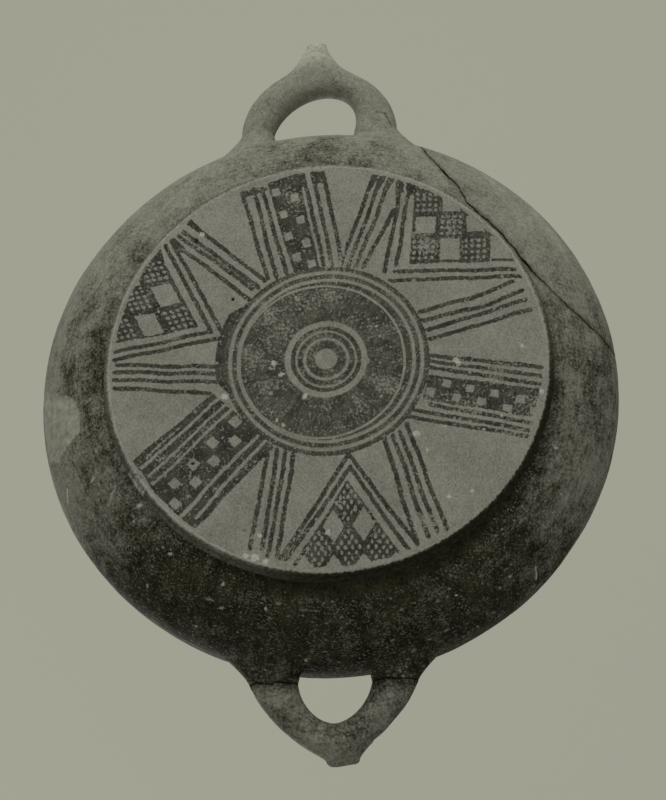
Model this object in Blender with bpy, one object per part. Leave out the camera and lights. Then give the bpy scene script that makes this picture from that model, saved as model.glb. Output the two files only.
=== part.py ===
"""A shallow painted pottery dish with two horned loop handles, broken in old times and mended.

It rests on its foot with its mouth up: +Z is up, z = 0 is the foot's flat face, and the handles lie along X.
The handle at +X is whole. The one at -X was broken off at both roots and put back. One sherd of the wall was
rejoined along a crack that runs beside the foot. All sizes are in metres.
"""

import math

import bmesh
import bpy
import numpy as np

MM = 0.001

# Seams: the hairline gap between pieces that were luted or glued together
SEAM = 0.3 * MM
OVERRUN = 10.0 * MM

# Dish: floor, rounded wall and plain lip. The belly is its widest ring
BELLY_RADIUS = 130.2 * MM
BELLY_HEIGHT = 34.3 * MM
BELLY_POWER = 1.86
UNDERSIDE_SHARE = 0.691
FLOOR_THICKNESS = 6.5 * MM
WALL_THICKNESS = 6.0 * MM
LIP_HEIGHT = 49.0 * MM
LIP_LEAN = 0.8 * MM

# Foot: a low raised disc, three quarters of the dish's width, which the potter set a little off its centre
FOOT_SHARE = 0.749
FOOT_HEIGHT = 4.0 * MM
FOOT_EDGE_ROUND = 1.5 * MM
FOOT_OFFSET = 1.7 * MM

# Crack of the rejoined wall sherd, which runs beside the foot: along it and out from the centre, as shares
# of the belly radius
CRACK_BEARING = math.radians(53.0)
CRACK_SHARES = (
    (-0.600, 0.872), (-0.512, 0.835), (-0.431, 0.803), (-0.334, 0.789), (-0.233, 0.783),
    (-0.164, 0.762), (-0.026, 0.760), (0.134, 0.762), (0.204, 0.760), (0.272, 0.766),
    (0.352, 0.772), (0.405, 0.786), (0.513, 0.811), (0.600, 0.850),
)

# Handles: coils bent into loops level with the belly, with roots that spread onto the wall
COIL_HEIGHT = 13.0 * MM
ROOT_HEIGHT = 17.0 * MM
ROOT_LENGTH_IN = 10.0 * MM
ROOT_LENGTH_OUT = 17.0 * MM
ROOT_SPREAD_IN = 3.0 * MM
ROOT_SPREAD_OUT = 16.0 * MM
ROOT_SPREAD_POWER = 1.25

# Upper handle, at +X: the hole leans to one side, and the horn is tall
UPPER_STANDOFF = 3.8 * MM
UPPER_HOLE_LENGTH = 20.3 * MM
UPPER_HOLE_HALF_WIDTH = 19.4 * MM
UPPER_HOLE_OFFSET = -3.9 * MM
UPPER_HOLE_LEAN_SHARE = 0.3
UPPER_LOOP_LENGTH = 36.0 * MM
UPPER_LOOP_HALF_WIDTH = 37.5 * MM
UPPER_LOOP_OFFSET = -1.5 * MM
UPPER_LOOP_POWER = 2.0
UPPER_HORN_LENGTH = 15.5 * MM
UPPER_HORN_BASE_WIDTH = 34.0 * MM
UPPER_HORN_TIP_WIDTH = 10.2 * MM
UPPER_HORN_TIP_HEIGHT = 8.0 * MM
UPPER_HORN_OFFSET = -1.9 * MM
UPPER_HORN_SEAT = 5.5 * MM

# Lower handle, at -X: its arms run together in a point, and the horn is low and lopsided
LOWER_STANDOFF = 2.8 * MM
LOWER_HOLE_LENGTH = 17.9 * MM
LOWER_HOLE_HALF_WIDTH = 15.6 * MM
LOWER_HOLE_OFFSET = 0.3 * MM
LOWER_HOLE_LEAN_SHARE = 0.0
LOWER_LOOP_LENGTH = 34.0 * MM
LOWER_LOOP_HALF_WIDTH = 35.5 * MM
LOWER_LOOP_OFFSET = -0.2 * MM
LOWER_LOOP_POWER = 1.4
LOWER_HORN_LENGTH = 2.0 * MM
LOWER_HORN_BASE_WIDTH = 24.0 * MM
LOWER_HORN_TIP_WIDTH = 14.0 * MM
LOWER_HORN_TIP_HEIGHT = 9.0 * MM
LOWER_HORN_OFFSET = 3.0 * MM
LOWER_HORN_SEAT = 8.0 * MM
LOWER_BREAK_STANDOFF = 3.8 * MM

HOLE_POWER = 2.0
HORN_TAPER = 1.3
HORN_BASE_HEIGHT = 11.0 * MM
HORN_ROUND = 1.6 * MM

# Shading: edges sharper than this stay crisp. Points closer than this are one
SHARP_ANGLE = math.radians(40.0)
MERGE_DISTANCE = 0.02 * MM

CLAY_COLOUR = (0.33, 0.31, 0.26)
CLAY_ROUGHNESS = 0.8
PAINT_COLOUR = (0.045, 0.04, 0.032)
PAINT_ROUGHNESS = 0.65

# How finely the round shapes are cut
TURN_STEPS = 80
WALL_STEPS = 10
SHOULDER_STEPS = 3
LIP_STEPS = 4
LOOP_STEPS = 20
ROOT_STEPS = 4
RING_SIDES = 14
HORN_STEPS = 6

foot_radius = BELLY_RADIUS * FOOT_SHARE
underside_radius = BELLY_RADIUS * UNDERSIDE_SHARE
body_bottom = FOOT_HEIGHT + SEAM
floor_top = body_bottom + FLOOR_THICKNESS
lip_centre = LIP_HEIGHT - WALL_THICKNESS / 2
handle_height = BELLY_HEIGHT


def clear_scene():
    for item in list(bpy.data.objects):
        bpy.data.objects.remove(item, do_unlink=True)


def make_material(name, colour, roughness):
    material = bpy.data.materials.new(name)
    material.use_nodes = True
    shader = material.node_tree.nodes["Principled BSDF"]
    shader.inputs["Base Color"].default_value = (*colour, 1.0)
    shader.inputs["Roughness"].default_value = roughness
    shader.inputs["Metallic"].default_value = 0.0
    return material


def add_object(name, form, material, flat=False):
    """Turn a bmesh into a named object with its faces pointing outwards."""
    bmesh.ops.recalc_face_normals(form, faces=form.faces)
    mesh = bpy.data.meshes.new(name)
    form.to_mesh(mesh)
    form.free()
    if not flat:
        mesh.shade_smooth()
        mesh.set_sharp_from_angle(angle=SHARP_ANGLE)
    thing = bpy.data.objects.new(name, mesh)
    bpy.context.scene.collection.objects.link(thing)
    if material is not None:
        mesh.materials.append(material)
    return thing


def make_cutter(name, form):
    thing = add_object(name, form, None, flat=True)
    thing.hide_render = True
    thing.display_type = "WIRE"
    return thing


def cut(thing, cutter, operation="DIFFERENCE"):
    boolean = thing.modifiers.new(cutter.name, "BOOLEAN")
    boolean.operation = operation
    boolean.solver = "EXACT"
    boolean.object = cutter


def lathe(profile):
    """Spin a (radius, height) profile, whose two ends are on the axis, once round Z."""
    form = bmesh.new()
    points = [form.verts.new((radius, 0.0, height)) for radius, height in profile]
    edges = [form.edges.new(pair) for pair in zip(points, points[1:])]
    bmesh.ops.spin(
        form, geom=points + edges, cent=(0, 0, 0), axis=(0, 0, 1),
        angle=math.tau, steps=TURN_STEPS, use_merge=True,
    )
    bmesh.ops.remove_doubles(form, verts=form.verts, dist=MERGE_DISTANCE)
    return form


def wall_curve(radius, low, steps):
    """Quarter superellipse from the flat underside, out and up to the belly."""
    points = []
    for step in range(steps + 1):
        turn = math.pi / 2 * step / steps
        out = (radius - underside_radius) * abs(math.sin(turn)) ** (2 / BELLY_POWER)
        down = (BELLY_HEIGHT - low) * abs(math.cos(turn)) ** (2 / BELLY_POWER)
        points.append((underside_radius + out, BELLY_HEIGHT - down))
    return points


def shoulder(radius):
    """Parabola from the belly up to the lip, leaning in a little."""
    points = []
    for step in range(1, SHOULDER_STEPS + 1):
        rise = step / SHOULDER_STEPS
        points.append((radius - LIP_LEAN * rise ** 2, BELLY_HEIGHT + (lip_centre - BELLY_HEIGHT) * rise))
    return points


def outer_wall(swell=0.0):
    """Outside of the dish, from the flat underside up to the lip."""
    radius = BELLY_RADIUS + swell
    return wall_curve(radius, body_bottom - swell, WALL_STEPS) + shoulder(radius)


def inner_wall():
    """Inside of the dish, from the lip down to the floor: the outside again, one wall further in."""
    radius = BELLY_RADIUS - WALL_THICKNESS
    return (wall_curve(radius, floor_top, WALL_STEPS) + shoulder(radius))[::-1]


def lip():
    """The rounded top edge: a half circle from the outside over to the inside."""
    centre = BELLY_RADIUS - LIP_LEAN - WALL_THICKNESS / 2
    points = []
    for step in range(1, LIP_STEPS):
        turn = math.pi * step / LIP_STEPS
        half = WALL_THICKNESS / 2
        points.append((centre + half * math.cos(turn), lip_centre + half * math.sin(turn)))
    return points


def dish_form():
    return lathe([(0.0, body_bottom)] + outer_wall() + lip() + inner_wall() + [(0.0, floor_top)])


def foot_form():
    points = [(0.0, 0.0)]
    for step in range(LIP_STEPS + 1):
        turn = math.pi / 2 * step / LIP_STEPS
        radius = foot_radius - FOOT_EDGE_ROUND + FOOT_EDGE_ROUND * math.sin(turn)
        points.append((radius, FOOT_EDGE_ROUND - FOOT_EDGE_ROUND * math.cos(turn)))
    return lathe(points + [(foot_radius, FOOT_HEIGHT), (0.0, FOOT_HEIGHT)])


def prism(outline, low, high):
    """A flat outline of (x, y) points raised from one height to another."""
    form = bmesh.new()
    face = form.faces.new([form.verts.new((x, y, low)) for x, y in outline])
    raised = bmesh.ops.extrude_face_region(form, geom=[face])
    top = [item for item in raised["geom"] if isinstance(item, bmesh.types.BMVert)]
    bmesh.ops.translate(form, verts=top, vec=(0, 0, high - low))
    return form


def sherd_prism(setback):
    """Everything beyond the crack line, moved outwards by the setback."""
    along = np.array([share[0] for share in CRACK_SHARES]) * BELLY_RADIUS
    out = np.array([share[1] for share in CRACK_SHARES]) * BELLY_RADIUS + setback
    far = BELLY_RADIUS + 2 * OVERRUN
    along = np.concatenate([along, [along[-1], along[0]]])
    out = np.concatenate([out, [far, far]])
    x = out * math.cos(CRACK_BEARING) - along * math.sin(CRACK_BEARING)
    y = out * math.sin(CRACK_BEARING) + along * math.cos(CRACK_BEARING)
    return prism(list(zip(x, y)), -OVERRUN, LIP_HEIGHT + OVERRUN)


class Handle:
    """A loop of coil with a horn, facing +X (1) or -X (-1). Places are measured out along that side."""

    def __init__(self, facing, standoff, hole, loop, horn_sizes):
        self.facing = facing
        self.start = BELLY_RADIUS + standoff
        self.hole_length, self.hole_half, self.hole_offset, self.hole_lean = hole
        self.loop_length, self.loop_half, self.loop_offset, self.loop_power = loop
        self.horn_length, self.horn_base, self.horn_tip, self.horn_height = horn_sizes[:4]
        self.horn_offset, self.horn_seat = horn_sizes[4:]

    def inner(self, turn):
        """Hole's edge: half an ellipse that leans aside as it goes out."""
        reach, aside = half_arch(self.hole_length, self.hole_half, HOLE_POWER, turn)
        return np.array([self.start + reach, self.hole_offset + aside + self.hole_lean * reach])

    def outer(self, turn):
        """Loop's outside: half a superellipse."""
        reach, aside = half_arch(self.loop_length, self.loop_half, self.loop_power, turn)
        return np.array([self.start + reach, self.loop_offset + aside])

    def bend(self, first=0.0):
        """Rings over the arch from one arm to the other, leaving out those nearer the wall than first."""
        turns = [math.pi * (step / LOOP_STEPS - 0.5) for step in range(LOOP_STEPS + 1)]
        rings = [(self.inner(turn), self.outer(turn), COIL_HEIGHT) for turn in turns]
        return [ring for ring in rings if min(ring[0][0], ring[1][0]) >= first]

    def root(self, side, first):
        """Rings of one arm's root, from first inwards to the wall, which it spreads to meet."""
        inner = self.inner(math.copysign(math.pi / 2, side))[1]
        outer = self.outer(math.copysign(math.pi / 2, side))[1]
        rings = []
        for step in range(ROOT_STEPS + 1):
            back = step / ROOT_STEPS
            spread = back ** ROOT_SPREAD_POWER
            near = np.array([first - ROOT_LENGTH_IN * back, inner - side * ROOT_SPREAD_IN * spread])
            far = np.array([first - ROOT_LENGTH_OUT * back, outer + side * ROOT_SPREAD_OUT * spread])
            rings.append((near, far, COIL_HEIGHT + (ROOT_HEIGHT - COIL_HEIGHT) * spread))
        return rings

    def horn(self):
        """Rings of the horn, tapering from inside the loop's outer edge to a blunt rounded tip."""
        start = self.start + self.loop_length - self.horn_seat
        tip = self.start + self.loop_length + self.horn_length
        rings = []
        for step in range(HORN_STEPS + 1):
            share = step / HORN_STEPS
            place = start + (tip - HORN_ROUND - start) * share
            half = (self.horn_tip + (self.horn_base - self.horn_tip) * (1 - share) ** HORN_TAPER) / 2
            height = self.horn_height + (HORN_BASE_HEIGHT - self.horn_height) * (1 - share)
            rings.append(self.horn_ring(place, half, height))
        rings.append(self.horn_ring(tip, self.horn_tip / 2 - HORN_ROUND, self.horn_height - 2 * HORN_ROUND))
        return rings

    def horn_ring(self, place, half, height):
        return np.array([place, self.horn_offset - half]), np.array([place, self.horn_offset + half]), height


def half_arch(length, half_width, power, turn):
    """Reach and sideways place on half a superellipse; turn goes from -90 to +90 degrees over the top."""
    reach = length * abs(math.cos(turn)) ** (2 / power)
    return reach, math.copysign(half_width * abs(math.sin(turn)) ** (2 / power), turn)


def tube(rings, facing, swell=0.0):
    """Join oval rings, each between a near and a far point in plan, and close both ends."""
    form = bmesh.new()
    loops = []
    for near, far, height in rings:
        centre = (near + far) / 2
        half = (far - near) / 2
        half = half * (1 + swell / np.linalg.norm(half))
        loop = []
        for side in range(RING_SIDES):
            angle = math.tau * side / RING_SIDES
            place = centre + half * math.cos(angle)
            level = handle_height + (height / 2 + swell) * math.sin(angle)
            loop.append(form.verts.new((facing * place[0], place[1], level)))
        loops.append(loop)
    for first, second in zip(loops, loops[1:]):
        for side in range(RING_SIDES):
            after = (side + 1) % RING_SIDES
            form.faces.new((first[side], first[after], second[after], second[side]))
    form.faces.new(loops[0])
    form.faces.new(loops[-1])
    return form


def build_dish(clay, paint):
    foot = add_object("foot_disc", foot_form(), clay)
    foot.location.y = FOOT_OFFSET
    dish = add_object("dish_body", dish_form(), paint)
    cut(dish, make_cutter("sherd_space", sherd_prism(0.0)))
    sherd = add_object("rim_sherd", dish_form(), paint)
    cut(sherd, make_cutter("sherd_outline", sherd_prism(SEAM)), "INTERSECT")


def wall_cutter():
    """The whole dish as a solid, one seam larger, which the handle roots butt against."""
    profile = [(0.0, body_bottom - SEAM)] + outer_wall(SEAM)
    return make_cutter("wall_space", lathe(profile + [(0.0, profile[-1][1])]))


def build_upper_handle(clay, wall):
    handle = Handle(
        1, UPPER_STANDOFF,
        (UPPER_HOLE_LENGTH, UPPER_HOLE_HALF_WIDTH, UPPER_HOLE_OFFSET, UPPER_HOLE_LEAN_SHARE),
        (UPPER_LOOP_LENGTH, UPPER_LOOP_HALF_WIDTH, UPPER_LOOP_OFFSET, UPPER_LOOP_POWER),
        (UPPER_HORN_LENGTH, UPPER_HORN_BASE_WIDTH, UPPER_HORN_TIP_WIDTH, UPPER_HORN_TIP_HEIGHT,
         UPPER_HORN_OFFSET, UPPER_HORN_SEAT),
    )
    left = handle.root(-1, handle.start)
    right = handle.root(1, handle.start)
    rings = left[:0:-1] + handle.bend() + right[1:]
    cut(add_object("upper_handle_loop", tube(rings, handle.facing), clay), wall)
    loop_space = make_cutter("upper_loop_space", tube(rings, handle.facing, SEAM))
    cut(add_object("upper_handle_horn", tube(handle.horn(), handle.facing), clay), loop_space)


def build_lower_handle(clay, paint, wall):
    handle = Handle(
        -1, LOWER_STANDOFF,
        (LOWER_HOLE_LENGTH, LOWER_HOLE_HALF_WIDTH, LOWER_HOLE_OFFSET, LOWER_HOLE_LEAN_SHARE),
        (LOWER_LOOP_LENGTH, LOWER_LOOP_HALF_WIDTH, LOWER_LOOP_OFFSET, LOWER_LOOP_POWER),
        (LOWER_HORN_LENGTH, LOWER_HORN_BASE_WIDTH, LOWER_HORN_TIP_WIDTH, LOWER_HORN_TIP_HEIGHT,
         LOWER_HORN_OFFSET, LOWER_HORN_SEAT),
    )
    broken = BELLY_RADIUS + LOWER_BREAK_STANDOFF
    left = handle.root(-1, broken)
    right = handle.root(1, broken)
    for name, root in (("lower_handle_left_root", left), ("lower_handle_right_root", right)):
        cut(add_object(name, tube(root, handle.facing), paint), wall)
    gap = np.array([SEAM, 0.0])
    ends = [(root[0][0] + gap, root[0][1] + gap, root[0][2]) for root in (left, right)]
    rings = ends[:1] + handle.bend(broken + 2 * SEAM) + ends[1:]
    add_object("lower_handle_loop", tube(rings, handle.facing), clay)
    loop_space = make_cutter("lower_loop_space", tube(rings, handle.facing, SEAM))
    cut(add_object("lower_handle_horn", tube(handle.horn(), handle.facing), clay), loop_space)


def main():
    clear_scene()
    clay = make_material("pale_clay", CLAY_COLOUR, CLAY_ROUGHNESS)
    paint = make_material("dark_paint", PAINT_COLOUR, PAINT_ROUGHNESS)
    build_dish(clay, paint)
    wall = wall_cutter()
    build_upper_handle(clay, wall)
    build_lower_handle(clay, paint, wall)


main()
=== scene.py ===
"""A shallow painted pottery dish with two horned loop handles, worn, broken and mended, standing on its foot.

The frame's solids carry the sizes. Each shown surface is worked out here with numpy in millimetres and put
into its mesh in metres. The foot's painted pattern is laid out stroke by stroke, as the painter laid it.
"""

import math

import bmesh
import bpy
import numpy as np
from mathutils import Matrix, Vector

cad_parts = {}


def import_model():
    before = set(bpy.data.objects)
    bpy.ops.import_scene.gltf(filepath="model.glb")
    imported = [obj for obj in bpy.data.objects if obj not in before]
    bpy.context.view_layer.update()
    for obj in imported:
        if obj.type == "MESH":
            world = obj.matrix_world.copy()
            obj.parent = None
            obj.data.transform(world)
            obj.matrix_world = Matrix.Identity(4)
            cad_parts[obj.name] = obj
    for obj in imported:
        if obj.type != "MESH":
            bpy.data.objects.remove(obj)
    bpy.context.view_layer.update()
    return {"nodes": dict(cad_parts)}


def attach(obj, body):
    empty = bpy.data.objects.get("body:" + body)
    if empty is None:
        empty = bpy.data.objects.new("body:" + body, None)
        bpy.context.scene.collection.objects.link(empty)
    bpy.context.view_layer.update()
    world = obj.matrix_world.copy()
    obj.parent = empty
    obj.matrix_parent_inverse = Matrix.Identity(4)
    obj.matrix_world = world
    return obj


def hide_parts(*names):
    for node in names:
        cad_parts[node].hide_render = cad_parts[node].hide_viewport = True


# A millimetre in metres, and a distance that is farther than any on the dish
MM = 0.001
FAR = 1000.0

# Points nearer than this, in millimetres, become one. Edges that turn by more degrees than this are sharp
JOIN_DISTANCE = 0.004
SHARP_TURN = 42

# Dish: the flat underside, the rounded wall and the plain lip
BELLY_RADIUS = 130.2
BELLY_HEIGHT = 34.3
BELLY_POWER = 1.86
UNDERSIDE_RADIUS = BELLY_RADIUS * 0.691
UNDERSIDE_HEIGHT = 4.3
FLOOR_HEIGHT = 10.8
WALL_THICKNESS = 6.0
LIP_HALF = WALL_THICKNESS / 2
LIP_CENTRE_HEIGHT = 46.0
LIP_LEAN = 0.8
LIP_CENTRE_RADIUS = BELLY_RADIUS - LIP_LEAN - LIP_HALF
FLAT_RADII = (0.0, 60.0, 88.0)
DISH_COLUMNS = 640
SHERD_COLUMNS = 170
SHERD_TIP_CLEAR = 0.45

# Radius at which bearings are laid out flat on the wall, and along the crack
FLAT_WALL_RADIUS = 120.0
FLAT_CRACK_RADIUS = 100.0

# Foot: the low painted disc, set a little off the dish's centre
FOOT_RADIUS = BELLY_RADIUS * 0.749
FOOT_OFFSET = 1.7
FOOT_EDGE_ROUND = 1.5
FOOT_FLARE = ((0.0, 2.6), (0.1, 3.6), (0.25, 4.4), (0.5, 5.0), (0.8, 5.5))
FOOT_TOP = 5.9
PIT_DEPTH = 0.45
FLAKE_INSET = 0.9
FLAKE_DEPTH = 0.5
FOOT_COLUMNS = 820

# Crack of the rejoined wall sherd: along it and out from the centre, as shares of the belly radius
CRACK_BEARING = 53.0
CRACK_SHARES = (
    (-0.600, 0.872), (-0.512, 0.835), (-0.431, 0.803), (-0.334, 0.789), (-0.233, 0.783),
    (-0.164, 0.762), (-0.026, 0.760), (0.134, 0.762), (0.204, 0.760), (0.272, 0.766),
    (0.352, 0.772), (0.405, 0.786), (0.513, 0.811), (0.600, 0.850),
)

# Least way from the foot's edge to the crack, the sherd's set-back from it and the crack's least opening
CRACK_CLEAR = 1.5
SHERD_SET_BACK = 0.3
CRACK_LEAST = 0.04

# Nearer to the crack than the first, the distance is taken across it. None counts for more than the second
CRACK_NEAR = 4.0
CRACK_REACH = 30.0

# Chips along the crack: bearing and half length in degrees, and how far they open it
CRACK_CHIPS = ((31.5, 1.5, 0.9), (63.5, 2.4, 0.9), (41.0, 5.0, 0.25), (55.0, 4.0, 0.25))

# Flaked patch on the wall: its corners, and how deep its floor lies
SPALL_EDGE = (
    (4.3, -129.5, 29.7), (-2.2, -122.3, 17.7), (-8.2, -112.2, 10.3), (-14.4, -107.2, 8.2),
    (-24.3, -107.3, 9.1), (-28.1, -111.8, 12.0), (-33.3, -117.0, 17.0), (-35.2, -118.8, 19.4),
    (-31.1, -125.2, 28.0),
)
SPALL_DEPTH = 0.55
SPALL_REACH = 10.0

# Unevenness in layers, each by the size of its waves, their height in millimetres and their seed
CRACK_STEPS = ((9.0, 0.35, 31), (2.6, 0.16, 32))
CRACK_CRUMBLE = ((5.0, 0.08, 33),)
SPALL_RAGGED = ((7.0, 1.1, 41), (2.2, 0.5, 42))
SPALL_ROUGH = ((6.0, 0.22, 15), (2.4, 0.12, 16))
HAND_TURNED = ((70.0, 0.22, 11), (24.0, 0.10, 12))
WALL_GRAIN = ((5.0, 0.05, 14),)
BRUSH_WOBBLE = (((26.0, 0.35, 51), (5.0, 0.16, 53)), ((26.0, 0.35, 52), (5.0, 0.16, 54)))
FOOT_OUT_OF_ROUND = ((60.0, 0.35, 61), (9.0, 0.15, 62))
FOOT_HOLLOWS = ((34.0, 0.05, 63), (7.0, 0.025, 64))
BREAK_STEPS = ((13.0, 0.75, 81), (4.0, 0.3, 82))

# Finishing grooves on the wall, and the nicks in its lip
GROOVE_PITCH = 1.25
GROOVE_DEPTH = 0.035
NICK_DEPTH = 0.8

# Handles, measured out from the dish's axis along their own side
COIL_HALF_HEIGHT = 6.5
ROOT_GROWTH = 2.0
ROOT_IN = 10.0
ROOT_OUT = 17.0
ROOT_SPREAD_IN = 3.0
ROOT_SPREAD_OUT = 16.0
ROOT_POWER = 1.25
ROOT_SUNK = 3.0
ROOT_REACH = 1.22

# Horn: the power of its taper, how much deeper in the loop its outline starts, and the power of the mean
# that rounds the corner between the two
HORN_TAPER = 1.3
HORN_SUNK = 3.0
CORNER_POWER = 30

# Coil: the most that its half width counts for, on the arms and more on the roots, how much it swells beside
# the wall and over what distance, its greatest half height, and how unevenly it is pressed and laid
ROUND_HALF_WIDTH = 8.5
ROUND_GROWTH = 9.0
SWELL = 2.0
SWELL_FADE = 4.2
MOST_HALF_HEIGHT = 12.5
PRESSED_SHARE = 0.03
LAID_UNEVEN = 0.35

# Steps in which a coil's end is drawn in, and the counts of points along a handle's edge and a root and round
# the coil
CAP_STEPS = (0.93, 0.6, 0.3, 0.0)
EDGE_COUNT = 170
UPPER_ROOT_COUNT = 16
LOWER_ROOT_COUNT = 22
COIL_COUNT = 48

# Both handles. Hole: length, half width, how far aside, lean and power of its curve. Loop: the same without a
# lean. Horn: length beyond the loop, base and tip width, how far aside, corner radius and how deep it sits
UPPER_HANDLE = {
    "start": BELLY_RADIUS + 3.8, "hole": (20.3, 19.4, -3.9, 0.3, 2.0), "loop": (36.0, 37.5, -1.5, 2.0),
    "horn": (15.5, 34.0, 10.2, -1.9, 2.6, 5.5), "tip_half_height": 4.0,
}
LOWER_HANDLE = {
    "start": BELLY_RADIUS + 2.8, "hole": (17.9, 15.6, 0.3, -0.04, 1.75), "loop": (34.0, 35.5, -0.2, 1.4),
    "horn": (1.6, 24.0, 14.0, 3.0, 2.6, 8.0), "tip_half_height": 4.5,
}
LOWER_TIP = LOWER_HANDLE["start"] + LOWER_HANDLE["loop"][0] + LOWER_HANDLE["horn"][0]

# Break of the lower handle: where it is, its gap, how far its uneven face fades, and the least step after it
LOWER_BREAK = BELLY_RADIUS + 3.8
BREAK_GAP = 0.35
BREAK_FADE = 2.2
LEAST_STEP = 0.3

# Chip at the lower horn's tip: its place, the distances between which it fades, and how its middle is moved
TIP_CHIP_PLACE = (LOWER_TIP - 0.5, 4.2, 30.0)
TIP_CHIP_REACH = (0.5, 4.5)
TIP_CHIP_MOVE = (-1.1, 0.0, 0.6)

# Colours of the fired clay, its slip, the matt dark paint and the dirt in the cracks
PALE_SLIP = (0.172, 0.171, 0.137)
WORN_CLAY = (0.170, 0.168, 0.132)
CHALKY = (0.36, 0.36, 0.30)
DARK_PAINT = (0.0160, 0.0160, 0.0082)
LINE_PAINT = (0.0225, 0.0223, 0.0160)
THIN_PAINT = (0.075, 0.074, 0.055)
CRACK_DIRT = (0.009, 0.009, 0.006)


# Shapes that every piece is worked out with

def waves(points, size, seed):
    """Smooth unevenness between about -1 and 1: the mean of nine sine waves of about the given size, each
    running in its own direction through space."""
    draw = np.random.default_rng(seed)
    direction = draw.normal(size=(9, points.shape[-1]))
    direction /= np.linalg.norm(direction, axis=1, keepdims=True)
    rate = 2 * math.pi / (size * draw.uniform(0.7, 1.6, 9))
    start = draw.uniform(0, 2 * math.pi, 9)
    return np.sin(points @ (direction * rate[:, None]).T + start).sum(axis=-1) / 4.5


def uneven(points, layers):
    """Unevenness to either side: each layer's height times its waves, added up."""
    return sum(height * waves(points, size, seed) for size, height, seed in layers)


def hollows(points, layers):
    """Unevenness inwards only: each layer's height times one plus its waves, added up."""
    return sum(height * (1 + waves(points, size, seed)) for size, height, seed in layers)


def run_along(path):
    """Distance run along a path at each of its corners: its straight parts' lengths, added up."""
    return np.concatenate([[0.0], np.cumsum(np.linalg.norm(np.diff(path, axis=0), axis=1))])


def on_circle(radius, turn):
    """Places in plan from radius and bearing: radius times cosine and sine."""
    return np.stack([radius * np.cos(turn), radius * np.sin(turn)], axis=-1)


def smooth(value, low, high):
    """Zero below low, one above high, and 3 t squared - 2 t cubed between them."""
    share = np.clip((value - low) / (high - low), 0.0, 1.0)
    return share * share * (3 - 2 * share)


def path_distance(points, path):
    """Distance from each point to a path: the least of the distances to its straight parts."""
    least = np.full(len(points), FAR)
    for start, end in zip(path[:-1], path[1:]):
        step = end - start
        share = np.clip((points - start) @ step / max(step @ step, 1e-9), 0.0, 1.0)
        least = np.minimum(least, np.linalg.norm(points - start - share[:, None] * step, axis=1))
    return least


def evenly(path, count):
    """The same path cut into equal lengths: its corners are read off against the distance run along it."""
    run = run_along(path)
    wanted = np.linspace(0.0, run[-1], count)
    return np.stack([np.interp(wanted, run, path[:, axis]) for axis in range(path.shape[1])], axis=1)


def grid_faces(rows, columns, ring_columns=True, ring_rows=False):
    """Corner numbers of the quads between neighbouring rows and columns of points stored row by row."""
    row = np.arange(rows if ring_rows else rows - 1)
    column = np.arange(columns if ring_columns else columns - 1)
    row, column = np.meshgrid(row, column, indexing="ij")
    next_row, next_column = (row + 1) % rows, (column + 1) % columns
    corners = (row * columns + column, row * columns + next_column,
               next_row * columns + next_column, next_row * columns + column)
    return np.stack(corners, axis=-1).reshape(-1, 4)


def add_piece(name, points, faces, material, values, nodes, turn_out=False):
    """Put points in millimetres and quads into a mesh in metres, with one value a point for each named
    measure. Points that lie together become one, which closes poles and seams."""
    mesh = bpy.data.meshes.new(name)
    mesh.vertices.add(len(points))
    mesh.vertices.foreach_set("co", (points * MM).astype(np.float32).ravel())
    mesh.loops.add(faces.size)
    mesh.loops.foreach_set("vertex_index", faces.astype(np.int32).ravel())
    mesh.polygons.add(len(faces))
    mesh.polygons.foreach_set("loop_start", np.arange(0, faces.size, 4, dtype=np.int32))
    mesh.update(calc_edges=True)
    for label, measure in values.items():
        attribute = mesh.attributes.new(label, "FLOAT", "POINT")
        attribute.data.foreach_set("value", np.asarray(measure, np.float32).ravel())
    form = bmesh.new()
    form.from_mesh(mesh)
    bmesh.ops.remove_doubles(form, verts=form.verts, dist=JOIN_DISTANCE * MM)
    if turn_out:
        bmesh.ops.recalc_face_normals(form, faces=form.faces)
    form.to_mesh(mesh)
    form.free()
    mesh.shade_smooth()
    mesh.set_sharp_from_angle(angle=math.radians(SHARP_TURN))
    mesh.materials.append(material)
    piece = bpy.data.objects.new(name, mesh)
    bpy.context.scene.collection.objects.link(piece)
    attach(piece, "root")
    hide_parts(*nodes)
    return piece


# The dish's wall and floor

def wall_height(radius, belly, low):
    """Height of the rounded wall at a radius: a quarter superellipse from the flat underside to the belly."""
    share = np.clip((radius - UNDERSIDE_RADIUS) / (belly - UNDERSIDE_RADIUS), 0.0, 1.0)
    return BELLY_HEIGHT - (BELLY_HEIGHT - low) * (1 - share ** BELLY_POWER) ** (1 / BELLY_POWER)


def outside_height(radius):
    return wall_height(radius, BELLY_RADIUS, UNDERSIDE_HEIGHT)


def inside_height(radius):
    return wall_height(radius, BELLY_RADIUS - WALL_THICKNESS, FLOOR_HEIGHT)


def top_height(radius):
    """Height of the topmost clay over a radius: the inner wall, the lip's half circle, then the shoulder."""
    lip = LIP_CENTRE_HEIGHT + np.sqrt(np.clip(LIP_HALF ** 2 - (radius - LIP_CENTRE_RADIUS) ** 2, 0.0, None))
    rise = np.sqrt(np.clip((BELLY_RADIUS - radius) / LIP_LEAN, 0.0, 1.0))
    shoulder = BELLY_HEIGHT + (LIP_CENTRE_HEIGHT - BELLY_HEIGHT) * rise
    return np.where(radius < LIP_CENTRE_RADIUS - LIP_HALF, inside_height(radius),
                    np.where(radius < LIP_CENTRE_RADIUS + LIP_HALF, lip, shoulder))


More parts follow.
